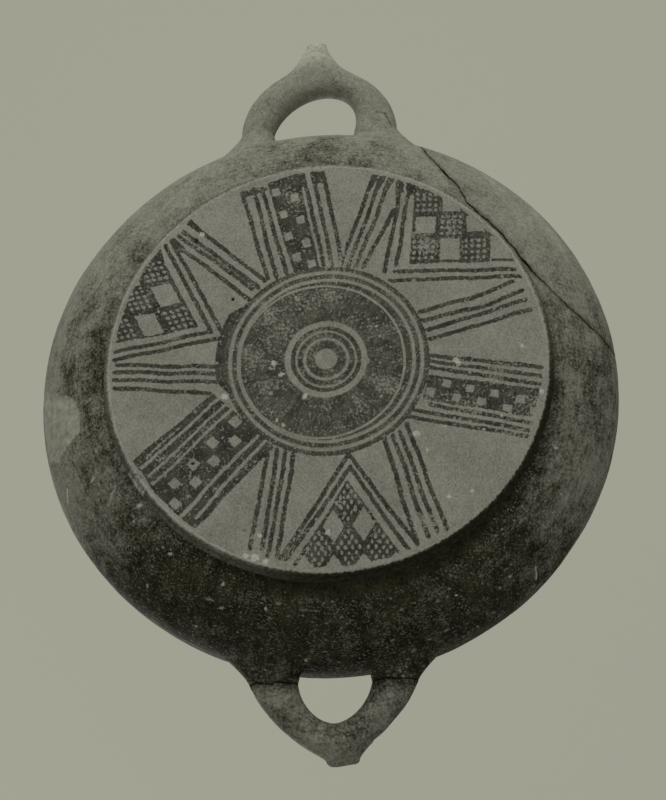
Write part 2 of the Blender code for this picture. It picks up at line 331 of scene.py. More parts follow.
def curve_of_wall(belly, low, count):
    """Points spaced evenly along the wall's quarter superellipse, from the underside to the belly."""
    turn = np.linspace(0.0, math.pi / 2, 400)
    radius = UNDERSIDE_RADIUS + (belly - UNDERSIDE_RADIUS) * np.sin(turn) ** (2 / BELLY_POWER)
    height = BELLY_HEIGHT - (BELLY_HEIGHT - low) * np.cos(turn) ** (2 / BELLY_POWER)
    return evenly(np.stack([radius, height], axis=1), count)


def shoulder_curve(belly, count):
    """A parabola from the belly up to the lip, leaning in a little."""
    rise = np.linspace(0.0, 1.0, count)
    height = BELLY_HEIGHT + (LIP_CENTRE_HEIGHT - BELLY_HEIGHT) * rise
    return np.stack([belly - LIP_LEAN * rise ** 2, height], axis=1)


def lower_profile():
    """Outside of the dish from the axis, under the floor and up to the belly."""
    flat = np.array([[radius, UNDERSIDE_HEIGHT] for radius in FLAT_RADII])
    return np.concatenate([flat, curve_of_wall(BELLY_RADIUS, UNDERSIDE_HEIGHT, 60)])


def upper_profile():
    """From just above the belly over the lip and down the inside to the axis."""
    turn = np.linspace(0.0, math.pi, 13)[1:-1]
    lip = np.stack([LIP_CENTRE_RADIUS + LIP_HALF * np.cos(turn),
                    LIP_CENTRE_HEIGHT + LIP_HALF * np.sin(turn)], axis=1)
    inner_belly = BELLY_RADIUS - WALL_THICKNESS
    inner_wall = curve_of_wall(inner_belly, FLOOR_HEIGHT, 34)
    inner = np.concatenate([inner_wall, shoulder_curve(inner_belly, 9)[1:]])[::-1]
    radius = np.linspace(UNDERSIDE_RADIUS, 0.0, 26)[1:]
    floor = np.stack([radius, np.full(len(radius), FLOOR_HEIGHT)], axis=1)
    return np.concatenate([shoulder_curve(BELLY_RADIUS, 12)[1:], lip, inner, floor])


def crack_line():
    """Corners of the crack in plan, turned to its bearing."""
    shares = np.array(CRACK_SHARES) * BELLY_RADIUS
    bearing = math.radians(CRACK_BEARING)
    along, out = shares[:, 0], shares[:, 1]
    return np.stack([out * math.cos(bearing) - along * math.sin(bearing),
                     out * math.sin(bearing) + along * math.cos(bearing)], axis=1)


def crack_radius(turn):
    """Radius at which the crack crosses each bearing, with the small steps of a broken edge."""
    line = evenly(crack_line(), 240)
    bearings = np.arctan2(line[:, 1], line[:, 0])
    radius = np.interp(turn, bearings, np.hypot(line[:, 0], line[:, 1]), left=FAR, right=FAR)
    radius = np.maximum(radius, FOOT_RADIUS + FOOT_OFFSET * np.sin(turn) + CRACK_CLEAR)
    steps = uneven(turn[:, None] * FLAT_CRACK_RADIUS, CRACK_STEPS)
    return np.where(radius < FAR, radius + steps, FAR)


def crack_opening(turn):
    """How far the crack's outer edge is chipped back, widest at the two black gaps beside the foot."""
    degrees = np.degrees(turn)
    chips = sum(opening * np.exp(-((degrees - bearing) / half) ** 2)
                for bearing, half, opening in CRACK_CHIPS)
    return CRACK_LEAST + chips + hollows(turn[:, None] * FLAT_CRACK_RADIUS, CRACK_CRUMBLE)


def polygon_inside(points, corners):
    """Distance to a closed outline, positive inside it: a point is inside where a line from it crosses the
    outline an odd number of times."""
    closed = np.concatenate([corners, corners[:1]])
    gap = path_distance(points, closed)
    crossings = np.zeros(len(points), int)
    for start, end in zip(closed[:-1], closed[1:]):
        between = (start[1] > points[:, 1]) != (end[1] > points[:, 1])
        slope = (end[0] - start[0]) / (end[1] - start[1] + 1e-9)
        crossings += between & (points[:, 0] < start[0] + slope * (points[:, 1] - start[1]))
    return np.where(crossings % 2 == 1, gap, -gap)


def spall_inside(points, run):
    """How far inside the pale flaked patch on the wall a point is, measured on the wall laid flat."""
    edge = np.array(SPALL_EDGE)
    profile = curve_of_wall(BELLY_RADIUS, UNDERSIDE_HEIGHT, 200)
    edge_run = np.interp(edge[:, 2], profile[:, 1], run_along(profile))
    flat_edge = np.stack([np.arctan2(edge[:, 1], edge[:, 0]) * FLAT_WALL_RADIUS, edge_run], axis=1)
    flat = np.stack([np.arctan2(points[:, 1], points[:, 0]) * FLAT_WALL_RADIUS, run], axis=1)
    return polygon_inside(flat, flat_edge) + uneven(flat, SPALL_RAGGED)


def dish_surface(turn, inner_part):
    """The dish's skin over the given bearings, as far as the crack (inner_part) or from the crack outwards.

    Each column is the whole profile with its radii held to one side of the crack. The rows that are held pile
    up on the crack's outer and inner edges, and the one quad between the two piles is the broken face."""
    lower, upper = lower_profile(), upper_profile()
    line = crack_radius(turn)
    if inner_part:
        outer_edge, inner_edge = line - crack_opening(turn) * 0.5, line
        low_radius = np.minimum(lower[:, :1], outer_edge)
        held = upper[:, :1] > inner_edge
    else:
        inner_edge = np.minimum(line + SHERD_SET_BACK, BELLY_RADIUS)
        outer_edge = np.minimum(line + SHERD_SET_BACK + crack_opening(turn) * 0.6, BELLY_RADIUS)
        low_radius = np.maximum(lower[:, :1], outer_edge)
        held = upper[:, :1] < inner_edge
    low_height = outside_height(low_radius)
    top_radius = np.where(held, inner_edge, upper[:, :1])
    top = np.where(held, top_height(np.minimum(inner_edge, BELLY_RADIUS)), upper[:, 1:])
    radius = np.concatenate([low_radius, top_radius])
    height = np.concatenate([low_height, top])

    length = run_along(np.concatenate([lower, upper]))
    length -= length[len(FLAT_RADII)]
    low_run = np.interp(low_radius, lower[:, 0], length[:len(lower)])
    run = np.concatenate([low_run, np.broadcast_to(length[len(lower):, None], top_radius.shape)])

    out, up = wall_facing(radius, height, len(lower))
    loose = np.concatenate([np.ones(low_radius.shape, bool), ~held])
    place = np.concatenate([on_circle(radius, turn), height[..., None]], axis=-1).reshape(-1, 3)
    depth, bare = wall_depth(place, run.ravel(), len(lower) * len(turn))
    depth = depth.reshape(radius.shape) * loose
    radius = radius - out * depth
    height = height - up * depth
    place = np.concatenate([on_circle(radius, turn), height[..., None]], axis=-1).reshape(-1, 3)
    crack = np.minimum(path_distance(place[:, :2], evenly(crack_line(), 60)), CRACK_REACH)
    across = np.abs(line - radius).ravel()
    crack = np.where(crack < CRACK_NEAR, np.minimum(across, CRACK_REACH), crack)
    return place, {"run": run.ravel(), "crack": crack, "bare": bare, "cover": wall_cover_and_shade(place)}


# Clouds of thinner or thicker paint on the wall, in plan: where, size and how much more paint. Below them,
# the rubbed stretches of its rim
WALL_CLOUDS = ((28.0, -105.0, 15.0, -0.13), (2.0, -108.0, 14.0, 0.10), (-18.0, 114.0, 18.0, 0.11),
               (112.0, 0.0, 12.0, -0.05), (-92.0, -56.0, 20.0, 0.10))
RUBBED_RIM = ((-0.21, -0.98, 0.78, 0.95), (-0.60, 0.80, 0.94, 0.99))


def wall_cover_and_shade(place):
    """How much of the dark paint is left outside: nearly all on the lower horn's side, half across the
    middle, little towards the tall horn and along the rim, and a darker ring beside the foot, which is
    partly more paint and partly painted shadow of the foot's edge."""
    x, y = place[:, 0], place[:, 1]
    radius = np.hypot(x, y)
    upper = smooth(x, -50.0, 10.0)
    middle = smooth(x, -74.0, -40.0)

    # Less and less paint on the way to the tall horn, but a dark patch between that handle's roots
    cover = 0.98 - 0.40 * smooth(x, -96.0, -52.0) - 0.32 * smooth(x, 16.0, 82.0)
    cover = cover + 0.26 * np.exp(-((x - 106) / 16) ** 2 - (y / 36) ** 2)

    # Paler beside the crack, along the rim and on the right, and uneven in small clouds
    cover = cover - 0.12 * smooth(y, 40.0, 90.0) * smooth(x, 0.0, 50.0)
    cover = cover - (0.10 + 0.12 * smooth(-y, -20.0, 90.0)) * smooth(radius, 114.0, 126.0) * middle
    cover = cover - 0.12 * smooth(y, 60.0, 100.0) * smooth(x, -62.0, -30.0)
    cover = cover + (0.01 + 0.13 * waves(place, 15.0, 34)) * upper
    for east, north, size, more in WALL_CLOUDS:
        cover = cover + more * np.exp(-((x - east) ** 2 + (y - north) ** 2) / size ** 2)

    # Rubbed stretches of the rim, each by the way to its middle and the cosines between which it fades
    rim = smooth(radius, 111.0, 120.0)
    for way_x, way_y, outer, inner in RUBBED_RIM:
        towards = (way_x * x + way_y * y) / np.maximum(radius, 1.0)
        cover = cover - 0.20 * smooth(towards, outer, inner) * rim

    # Darker ring beside the foot: more paint, and towards the lower horn and the right mostly a painted
    # shadow of the foot's edge
    paint_and_foot_shadow = 0.06 * smooth(-y, -20.0, 40.0) * middle + 0.42 * smooth(0.62 * y - 0.78 * x, 30.0, 95.0)
    return cover + paint_and_foot_shadow * (1 - smooth(radius, 100.0, 108.0))


def wall_facing(radius, height, lower_rows):
    """Which way the skin faces, as its radial and upward parts: across the superellipse on the walls, away
    from the lip's centre on the lip, and straight up on the floor."""
    def across(belly, low):
        share = np.clip((radius - UNDERSIDE_RADIUS) / (belly - UNDERSIDE_RADIUS), 0.0, 1.0)
        down = np.clip((BELLY_HEIGHT - height) / (BELLY_HEIGHT - low), 0.0, 1.0)
        out = share ** (BELLY_POWER - 1) / (belly - UNDERSIDE_RADIUS)
        drop = down ** (BELLY_POWER - 1) / (BELLY_HEIGHT - low)
        size = np.hypot(out, drop) + 1e-9
        return out / size, drop / size

    outer_out, outer_drop = across(BELLY_RADIUS, UNDERSIDE_HEIGHT)
    inner_out, inner_drop = across(BELLY_RADIUS - WALL_THICKNESS, FLOOR_HEIGHT)
    row = np.arange(len(radius))[:, None]
    on_lip = (row >= lower_rows) & (height >= LIP_CENTRE_HEIGHT)
    inside = (row >= lower_rows) & (radius < LIP_CENTRE_RADIUS) & ~on_lip
    out = np.where(inside, -inner_out, outer_out)
    up = np.where(inside, inner_drop, -outer_drop)
    out = np.where(on_lip, (radius - LIP_CENTRE_RADIUS) / LIP_HALF, out)
    up = np.where(on_lip, (height - LIP_CENTRE_HEIGHT) / LIP_HALF, up)
    return out, up


def wall_depth(place, run, lower_count):
    """How far the skin lies under the ideal curve: hand-turned unevenness, shallow finishing grooves, nicks
    in the lip, and the flaked patch, whose floor is rough."""
    grooves = np.sin(run / GROOVE_PITCH + 2.5 * waves(place, 60.0, 13))
    depth = hollows(place, HAND_TURNED) + GROOVE_DEPTH * (1 + grooves) + hollows(place, WALL_GRAIN)
    bare = np.full(len(place), -SPALL_REACH)
    outside = np.arange(len(place)) < lower_count
    bare[outside] = np.clip(spall_inside(place[outside], run[outside]), -SPALL_REACH, SPALL_REACH)
    depth = depth + smooth(bare, -0.4, 0.9) * (SPALL_DEPTH + uneven(place, SPALL_ROUGH))
    lip = smooth(place[:, 2], 45.5, 48.0)
    nicks = smooth(waves(place, 9.0, 17), 0.75, 1.15)
    return depth + lip * nicks * NICK_DEPTH, bare


def make_dish(material):
    """The dish as its main part and the sherd that was glued back, on either side of the crack. The sherd's
    two thin ends are closed by drawing their last columns in to one point each."""
    turn = np.linspace(-math.pi, math.pi, DISH_COLUMNS, endpoint=False)
    place, values = dish_surface(turn, inner_part=True)
    faces = grid_faces(len(place) // len(turn), len(turn))
    add_piece("painted_dish", place, faces, material, values, ["dish_body"])

    line = evenly(crack_line(), 2000)
    near = line[np.hypot(line[:, 0], line[:, 1]) < BELLY_RADIUS - SHERD_TIP_CLEAR]
    turn = np.linspace(*np.arctan2(near[[0, -1], 1], near[[0, -1], 0]), SHERD_COLUMNS)
    place, values = dish_surface(turn, inner_part=False)
    columns = place.reshape(-1, len(turn), 3)
    columns[:, [0, -1]] = columns[:, [0, -1]].mean(axis=0)
    faces = grid_faces(len(columns), len(turn), ring_columns=False, ring_rows=True)
    add_piece("mended_sherd", place, faces, material, values, ["rim_sherd"])


# The foot's painted pattern. Spots are in millimetres from the foot's centre, towards the tall horn first

def ray(radius, bearing):
    """A spot from its radius and its bearing in degrees."""
    turn = math.radians(bearing)
    return radius * math.cos(turn), radius * math.sin(turn)


def stroke(spots, path, width=2.0, last=None):
    """Inside measure of a brush stroke: half its width, which changes evenly along it, less the distance to
    the nearest part of its path."""
    path = np.array(path, float)
    run = run_along(path)
    run = run / run[-1]
    last = width if last is None else last
    best = np.full(len(spots), -FAR)
    for number, start in enumerate(path[:-1]):
        step = path[number + 1] - start
        share = np.clip((spots - start) @ step / (step @ step), 0.0, 1.0)
        gap = np.linalg.norm(spots - start - share[:, None] * step, axis=1)
        passed = run[number] + share * (run[number + 1] - run[number])
        best = np.maximum(best, (width + (last - width) * passed) / 2 - gap)
    return best


def patch(spots, corners):
    """Inside measure of a field whose straight sides bulge nowhere inwards: the least distance to a side."""
    corners = np.array(corners, float)
    middle = corners.mean(axis=0)
    best = np.full(len(spots), FAR)
    for start, end in zip(corners, np.roll(corners, -1, axis=0)):
        across = np.array([start[1] - end[1], end[0] - start[0]])
        across /= np.linalg.norm(across)
        if (middle - start) @ across < 0:
            across = -across
        best = np.minimum(best, (spots - start) @ across)
    return best


def block(spots, centre, direction, length, width):
    """Inside measure of a turned rectangle, and each spot's place along and across it."""
    turn = math.radians(direction)
    ahead = np.array([math.cos(turn), math.sin(turn)])
    aside = np.array([-ahead[1], ahead[0]])
    along, across = (spots - centre) @ ahead, (spots - centre) @ aside
    return np.minimum(length / 2 - np.abs(along), width / 2 - np.abs(across)), along, across


# How far inside its cell a lattice begins
LATTICE_INSET = 0.4


class Pattern:
    """The painted pattern's measures at every spot: paint, and lattice with its own two directions."""

    def __init__(self, spots):
        self.spots = spots
        self.paint = np.full(len(spots), -FAR)
        self.lattice = np.full(len(spots), -FAR)
        self.along = np.zeros(len(spots))
        self.across = np.zeros(len(spots))

    def lines(self, *paths, width=2.0, last=None):
        for path in paths:
            self.paint = np.maximum(self.paint, stroke(self.spots, path, width, last))

    def fill(self, *corners):
        self.paint = np.maximum(self.paint, patch(self.spots, corners))

    def chequer(self, corners, squares, direction, length, width):
        """A dark field with squares left pale in it."""
        field = patch(self.spots, corners)
        for centre in squares:
            field = np.minimum(field, -block(self.spots, np.array(centre), direction, length, width)[0])
        self.paint = np.maximum(self.paint, field)

    def arm_cells(self, apex, first, second, sides, other_sides, frame):
        """A dark field between a chevron's two arms, in cells whose sides follow the arms. A spot lies at
        apex + a first + b second, and a cell holds one step of a and one of b. Every second cell is left pale
        within a dark frame, whose two widths are given, and the others hold lattice."""
        arms = np.array([first, second], float)
        arms /= np.linalg.norm(arms, axis=1, keepdims=True)
        a, b = np.linalg.solve(arms.T, (self.spots - apex).T)
        lean = abs(np.linalg.det(arms))
        self.paint = np.maximum(self.paint, np.minimum(a, b) * lean)
        for i, (a_from, a_to) in enumerate(zip(sides[:-1], sides[1:])):
            for j, (b_from, b_to) in enumerate(zip(other_sides[:-1], other_sides[1:])):
                along, across = a - (a_from + a_to) / 2, b - (b_from + b_to) / 2
                half, other_half = (a_to - a_from) / 2, (b_to - b_from) / 2
                inside = half - np.abs(along)
                other_inside = other_half - np.abs(across)
                if (i + j) % 2:
                    pale = np.minimum(inside - frame[0], other_inside - frame[1])
                    self.keep_off(pale * lean)
                else:
                    self.hold_lattice(np.minimum(inside, other_inside) * lean - LATTICE_INSET, along, across)

    def hold_lattice(self, inside, along, across):
        chosen = inside > self.lattice
        self.lattice = np.where(chosen, inside, self.lattice)
        self.along = np.where(chosen, along, self.along)
        self.across = np.where(chosen, across, self.across)

    def keep_off(self, inside):
        self.paint = np.minimum(self.paint, -inside)

    def leave_lines(self, *paths, width=1.0, last=None):
        """Thin lines left pale in the paint laid so far."""
        for path in paths:
            self.keep_off(stroke(self.spots, path, width, last))


def paint_upper_chequer(pattern):
    pattern.lines([ray(92, -23.5), ray(47.3, -31.8)], [ray(91.4, -20.1), ray(45.2, -27.7)],
                  [ray(90, -17.8), ray(45.2, -21.5)])
    pattern.lines([ray(92.4, -5.2), ray(43.7, 0.3)], [ray(92.7, -2.6), ray(44.4, 5.0)],
                  [ray(92.4, 0.2), ray(46.9, 10.3)])
    pattern.lines([ray(90.5, -22.7), ray(89.5, -17.5)], width=3.4)
    pattern.lines([ray(92, -6.1), ray(87.5, -6.0)], width=3.2)
    pattern.fill((93.3, -5.4), (93.6, 1.2), (87.2, 2.0), (87.0, -4.4))
    first = [ray(86.4, -14), ray(74.7, -13.6), ray(63, -14.2), ray(52, -13.7)]
    second = [ray(81.2, -8.9), ray(69.5, -8.1), ray(57.4, -7.7), ray(46.8, -7)]
    corners = [ray(92.5, -15.8), ray(44.0, -18.0), ray(44.0, -2.6), ray(93.6, -6.6)]
    pattern.chequer(corners, first + second, -12.0, 3.9, 3.5)


def paint_upper_lines(pattern):
    pattern.lines([ray(92.4, 14.8), ray(49, 10)], [ray(94, 17), ray(46, 14)],
                  [ray(93.5, 19.7), ray(46.5, 17.9)], [ray(78, 24), ray(47, 22)])
    for bearing in (15.2, 17.5, 20.0):
        pattern.lines([ray(93.2, bearing), ray(87, bearing - 0.6)], width=3.4, last=2.4)


def paint_right_chevron(pattern):
    pattern.arm_cells((43.8, 37.8), (0.995, 0.095), (-0.03, 1.0), (0.0, 13.9, 24.7, 37.0, 50.0),
                      (0.0, 11.9, 23.2, 33.8, 50.0), (1.4, 1.5))
    pattern.lines([(86.4, 35), (72.4, 33.7), (60.5, 30.7), (48.6, 28.3), (40.5, 26.8)],
                  [(83, 41), (76.5, 37.9), (64, 35.5), (51.5, 33.7), (43.8, 31.9)])
    pattern.fill((86.5, 33.6), (86.0, 37.2), (79.6, 36.8), (80.2, 33.2))
    pattern.fill((86.2, 38.2), (83.6, 44.0), (78.4, 43.4), (78.6, 38.0))
    pattern.lines([(36.1, 28.9), (35.2, 88.0)], [(40.5, 31.3), (38.6, 84.0)])
    pattern.leave_lines([(85.6, 37.6), (74.0, 36.6)], width=0.7)


def paint_right_lines(pattern):
    pattern.lines([(20.3, 41.4), (25.4, 63.5), (32.8, 82.8)], [(16.1, 42.6), (21.5, 69.4), (28.3, 86.7)],
                  [(11.4, 44.4), (23.6, 87.9)], [(6.9, 45), (18.8, 89.6)])


def paint_right_chequer(pattern):
    pattern.lines([(-0.4, 44.2), (-8.9, 93.0)], [(-3.2, 44.4), (-12.9, 93.0)], [(-6.1, 44.2), (-16.7, 92.6)],
                  width=1.9)
    pattern.lines([(-23.2, 43.6), (-34.2, 87.2)], [(-25.4, 36.4), (-37.3, 85.5)],
                  [(-28.6, 34.4), (-40, 84.6)], width=1.9)
    squares = [(-14.0, 51), (-17.0, 61.1), (-20, 71.8), (-22.7, 82.2),
               (-17.6, 44.4), (-20.5, 55.2), (-23.4, 65.8), (-26.4, 76.5), (-28.6, 87.4)]
    pattern.chequer([(-9.6, 44.0), (-18.5, 91.2), (-31.2, 87.0), (-20.9, 41.0)], squares, 104.0, 3.5, 3.3)


def paint_lower_right_lines(pattern):
    pattern.lines([(-31.9, 33.7), (-57.5, 41.4), (-79.5, 48.6)],
                  [(-35.5, 30.7), (-52.1, 35.5), (-80.1, 44.4)],
                  [(-37.3, 27.7), (-82.5, 40.8)], [(-37.9, 23.9), (-84.9, 36.1)])


def paint_lower_chevron(pattern):
    pattern.arm_cells((-55.8, 7.9), (-0.843, 0.539), (-0.840, -0.543), (0.0, 11.9, 23.3, 35.0, 47.0),
                      (0.0, 11.9, 23.3, 35.0, 47.0), (1.6, 1.5))
    pattern.lines([(-85.7, 36.5), (-44.4, 8.7), (-89.0, -20.4)],
                  [(-87.6, 32.3), (-50.4, 9.3), (-89.5, -18.3)])


def paint_lower_left_lines(pattern):
    pattern.lines([(-42.6, -25.6), (-84.3, -33.3)], [(-40.8, -21.4), (-84.3, -28)],
                  [(-42, -17.9), (-87.9, -25.6)], [(-43.2, -14.6), (-88.5, -22)])


def paint_lower_left_chequer(pattern):
    """One broad dark band. Its lines and squares are what was left pale in it."""
    squares = [(-27, -39.7), (-36.6, -49.2), (-45.4, -57.2), (-53.8, -65.3),
               (-36.1, -39.9), (-44.9, -48.5), (-53.7, -56.1), (-63.1, -64.9)]
    before = pattern.paint
    pattern.paint = np.full(len(pattern.spots), -FAR)
    band = [(-13.5, -48.9), (-45.6, -87.0), (-77.4, -59.6), (-39.5, -23.0)]
    pattern.chequer(band, squares, 225.0, 4.2, 4.2)
    pattern.leave_lines([(-13, -43.0), (-46.6, -79.7)], width=1.3)
    pattern.leave_lines([(-17, -41.2), (-50.8, -76.9)], [(-20.4, -40.0), (-54.3, -74.8)], width=1.1)
    pattern.leave_lines([(-33, -29.2), (-69.0, -62.6)], width=1.5)
    pattern.leave_lines([(-36.0, -26.3), (-69.8, -56.5)], width=1.35)
    pattern.leave_lines([(-27.8, -62.9), (-42.0, -77.6)], width=0.5, last=0.9)
    pattern.paint = np.maximum(pattern.paint, before)


def paint_left_lines(pattern):
    pattern.lines([(-1.3, -45.8), (2, -91.7)], [(-4.5, -44.6), (-1.3, -92.9)],
                  [(-8.4, -44), (-5.1, -92.9)], [(-13.5, -50.6), (-9, -92.9)])


def paint_left_chevron(pattern):
    pattern.arm_cells((18.2, -55.6), (0.899, -0.438), (-0.160, -0.987), (0.0, 12.9, 26.3, 39.0, 52.0),
                      (0.0, 12.9, 25.8, 39.0, 52.0), (1.1, 2.0))
    pattern.fill((58.6, -73.6), (51.0, -71.2), (50.6, -78.6), (55.0, -77.5))
    pattern.lines([(58.4, -67.0), (12.9, -44), (4.5, -92.9)], [(59.6, -71.4), (15.8, -50), (8.1, -92.9)])


def paint_upper_left_lines(pattern):
    pattern.lines([(70, -59.6), (39, -26.2)], [(65.8, -62.5), (36.1, -29.2)],
                  [(64, -64.9), ray(48, -41.8)], [(61.1, -67.9), (30.7, -33.3)])
    pattern.lines([(61.0, -67.4), (57.0, -63.4)], width=4.0, last=3.4)
    pattern.lines([(70.5, -60), (66, -55.2)], width=3.2, last=2.2)


# Spots where the paint has worn thin, where a chalky crust sits, and where the foot is pitted and flaked
WORN_SPOTS = (
    (48, 10, 9), (82, -13, 4), (-80, -31, 5), (-33, 84, 8), (-27, 60, 5), (-8, 74, 6), (-88, -12, 5),
    (30, -11, 4), (30, 2, 5), (22, -25, 5), (15, -18, 4), (3, -31, 6), (-12, -26, 4), (-14, 25, 5),
    (56, 44, 6), (54, 50, 5), (-76, 42, 4), (-44, -70, 4), (-24, 89, 5), (58, 58, 5), (-20, 44, 5),
)
CRUST_SPOTS = (
    (-3.4, 56.0, 1.3), (-5.2, 56.9, 1.3), (-36.4, 37.6, 1.5), (-65, 50, 0.9), (-63, 60, 0.9),
    (-88.2, -31.4, 1.9), (-87.4, -35.0, 1.3), (-90.2, -27.0, 1.3), (-78.5, -29.0, 1.1), (64, -54.6, 1.3),
    (-1.0, -22.6, 1.6), (-3.2, -23.4, 1.2), (-6.2, -19.6, 1.4), (-16.4, -9.1, 1.1), (15.2, 20.4, 1.0),
    (14.4, 22.4, 0.7), (-2, 18.8, 0.9), (-24, -24, 0.9), (-24, -19.6, 0.7), (-30, -19, 1.2),
    (-27.5, -22, 0.9), (-15.3, -44, 1.6), (-20, 92.2, 1.3), (-30, 74, 0.7), (-36, 66, 0.7), (-44, 42, 0.7),
    (-33.6, 49.6, 0.7), (-17.8, -9.8, 0.8), (30.2, -12.4, 0.8), (29.4, 3.2, 0.8), (-3.2, -34.0, 0.8),
    (-78.6, -0.8, 1.1), (1.6, 84.6, 1.0),
)
PIT_SPOTS = ((61.1, -57.1, 1.3), (31, -40.5, 0.9), (-45.3, -57.4, 0.9), (-75.9, -35.6, 0.5), (61.8, 16, 0.5))
FLAKE_SPOTS = ((-51.5, -83.0, 2.8), (-55, -80.0, 2.4), (-48, -85.5, 2.0))

# Radii on the foot: the line round the medallion, where it is thicker, and how far the pattern reaches
MEDALLION_LINE = (43.5, 44.7)
MEDALLION_INSIDE = 43.6
THICKER_LINE = 3.6
PATTERN_RADIUS = 93.9

# Measures are kept up to this far from an edge, in millimetres
MEASURE_REACH = 3.0


def spots_inside(spots, list_of_spots, ragged):
    """Inside measure of round spots, each given by its centre and radius, with ragged edges."""
    best = np.full(len(spots), -FAR)
    for x, y, radius in list_of_spots:
        best = np.maximum(best, radius - np.hypot(spots[:, 0] - x, spots[:, 1] - y))
    return best + ragged


def foot_pattern(spots):
    """All the measures of the painted base, with the wobble of a hand-held brush in the places themselves."""
    pattern = Pattern(spots + np.stack([uneven(spots, layers) for layers in BRUSH_WOBBLE], axis=1))
    for part in (paint_upper_chequer, paint_upper_lines, paint_right_chevron, paint_right_lines,
                 paint_right_chequer, paint_lower_right_lines, paint_lower_chevron, paint_lower_left_lines,
                 paint_lower_left_chequer, paint_left_lines, paint_left_chevron, paint_upper_left_lines):
        part(pattern)
    radius = np.hypot(spots[:, 0], spots[:, 1])
    bearing = np.degrees(np.arctan2(spots[:, 1], spots[:, 0])) % 360
    thicker = smooth(bearing, 250, 262) * (1 - smooth(bearing, 298, 310))
    outside = MEDALLION_LINE[1] + THICKER_LINE * thicker
    line = np.minimum(outside - radius, radius - MEDALLION_LINE[0])
    pattern.paint = np.maximum(pattern.paint, line)
    pattern.paint = np.where(radius < MEDALLION_INSIDE, -MEASURE_REACH, pattern.paint)
    pattern.keep_off(radius - PATTERN_RADIUS - 0.3 * waves(spots, 14.0, 55))
    ragged = 0.35 * waves(spots, 2.2, 56)
    worn = np.zeros(len(spots))
    for x, y, size in WORN_SPOTS:
        worn = np.maximum(worn, np.exp(-((spots[:, 0] - x) ** 2 + (spots[:, 1] - y) ** 2) / size ** 2))
    measures = {
        "paint": pattern.paint, "lattice": pattern.lattice,
        "crust": spots_inside(spots, CRUST_SPOTS, ragged), "pit": spots_inside(spots, PIT_SPOTS, ragged),
        "flake": spots_inside(spots, FLAKE_SPOTS, 0.9 * waves(spots, 4.0, 57)),
    }
    measures = {name: np.clip(measure, -MEASURE_REACH, MEASURE_REACH) for name, measure in measures.items()}
    return {**measures, "weave_along": pattern.along, "weave_across": pattern.across, "worn": worn}


def make_foot(material):
    """A disc on a grid of radius and bearing: flat below, a rounded edge, a short side that flares into the
    wall, and a hidden top. Pits and the flaked stretch of the edge are sunk into it."""
    turn = np.linspace(-math.pi, math.pi, FOOT_COLUMNS, endpoint=False)
    under_medallion = np.linspace(0.0, 43.0, 22)
    flat = np.concatenate([under_medallion, np.linspace(43.7, FOOT_RADIUS - FOOT_EDGE_ROUND, 86)])
    arc = np.linspace(0.0, math.pi / 2, 6)[1:]
    edge_radius = FOOT_RADIUS - FOOT_EDGE_ROUND * (1 - np.sin(arc))
    edge = np.stack([edge_radius, FOOT_EDGE_ROUND * (1 - np.cos(arc))], axis=1)
    side = np.array(FOOT_FLARE) + [FOOT_RADIUS, 0.0]
    top = np.array([[radius, FOOT_TOP] for radius in (FOOT_RADIUS - 3.0, 60.0, 0.0)])
    profile = np.concatenate([np.stack([flat, np.zeros(len(flat))], axis=1), edge, side, top])
    radius = np.repeat(profile[:, :1], len(turn), axis=1)
    height = np.repeat(profile[:, 1:], len(turn), axis=1)
    spots = on_circle(radius, turn).reshape(-1, 2)
    values = foot_pattern(spots)
    inset = hollows(on_circle(FOOT_RADIUS, turn), FOOT_OUT_OF_ROUND)
    near_edge = smooth(radius, 88.0, 95.5) * (height < 4.0)
    flake = smooth(values["flake"], -0.5, 1.0).reshape(radius.shape)
    radius = radius - near_edge * (inset + flake * FLAKE_INSET)
    under = (height < 1.0) * (radius < FOOT_RADIUS - 0.2)
    sunk = hollows(spots, FOOT_HOLLOWS) + PIT_DEPTH * smooth(values["pit"], -0.4, 0.4)
    height = height + under * sunk.reshape(radius.shape) + flake * FLAKE_DEPTH * (height < 3.0)
    spots = on_circle(radius, turn) + [0.0, FOOT_OFFSET]
    place = np.concatenate([spots, height[..., None]], axis=-1).reshape(-1, 3)
    faces = grid_faces(len(profile), len(turn))
    add_piece("painted_foot", place, faces, material, values, ["foot_disc"])


# The handles

def arch(length, half_width, power, turn):
    """Half a superellipse: reach = length |cos|^(2/power), aside = half width |sin|^(2/power), signed."""
    reach = length * np.abs(np.cos(turn)) ** (2 / power)
    return np.stack([reach, np.sign(turn) * half_width * np.abs(np.sin(turn)) ** (2 / power)], axis=1)


def horn_outline(loop_length, horn, centre_aside):
    """Both sides of the horn in plan: its half width falls off as a power from the base to the tip, and the
    tip's corners are quarter circles."""
    length, base, tip_width, offset, corner, seat = horn
    share = np.linspace(0.0, 1.0, 60)
    start, end = loop_length - seat, loop_length + length
    place = start + (end - corner - start) * share
    half = (tip_width + (base - tip_width) * (1 - share) ** HORN_TAPER) / 2
    place, half = np.append(start - HORN_SUNK, place), np.append(half[0], half)
    turn = np.linspace(0.0, math.pi / 2, 12)[1:]
    place = np.concatenate([place, end - corner + corner * np.sin(turn)])
    half = np.concatenate([half, half[-1] - corner + corner * np.cos(turn)])
    middle = offset - centre_aside
    one_side = np.stack([place, middle - half], axis=1)
    other_side = np.stack([place, middle + half], axis=1)
    return np.concatenate([one_side, other_side[::-1]])


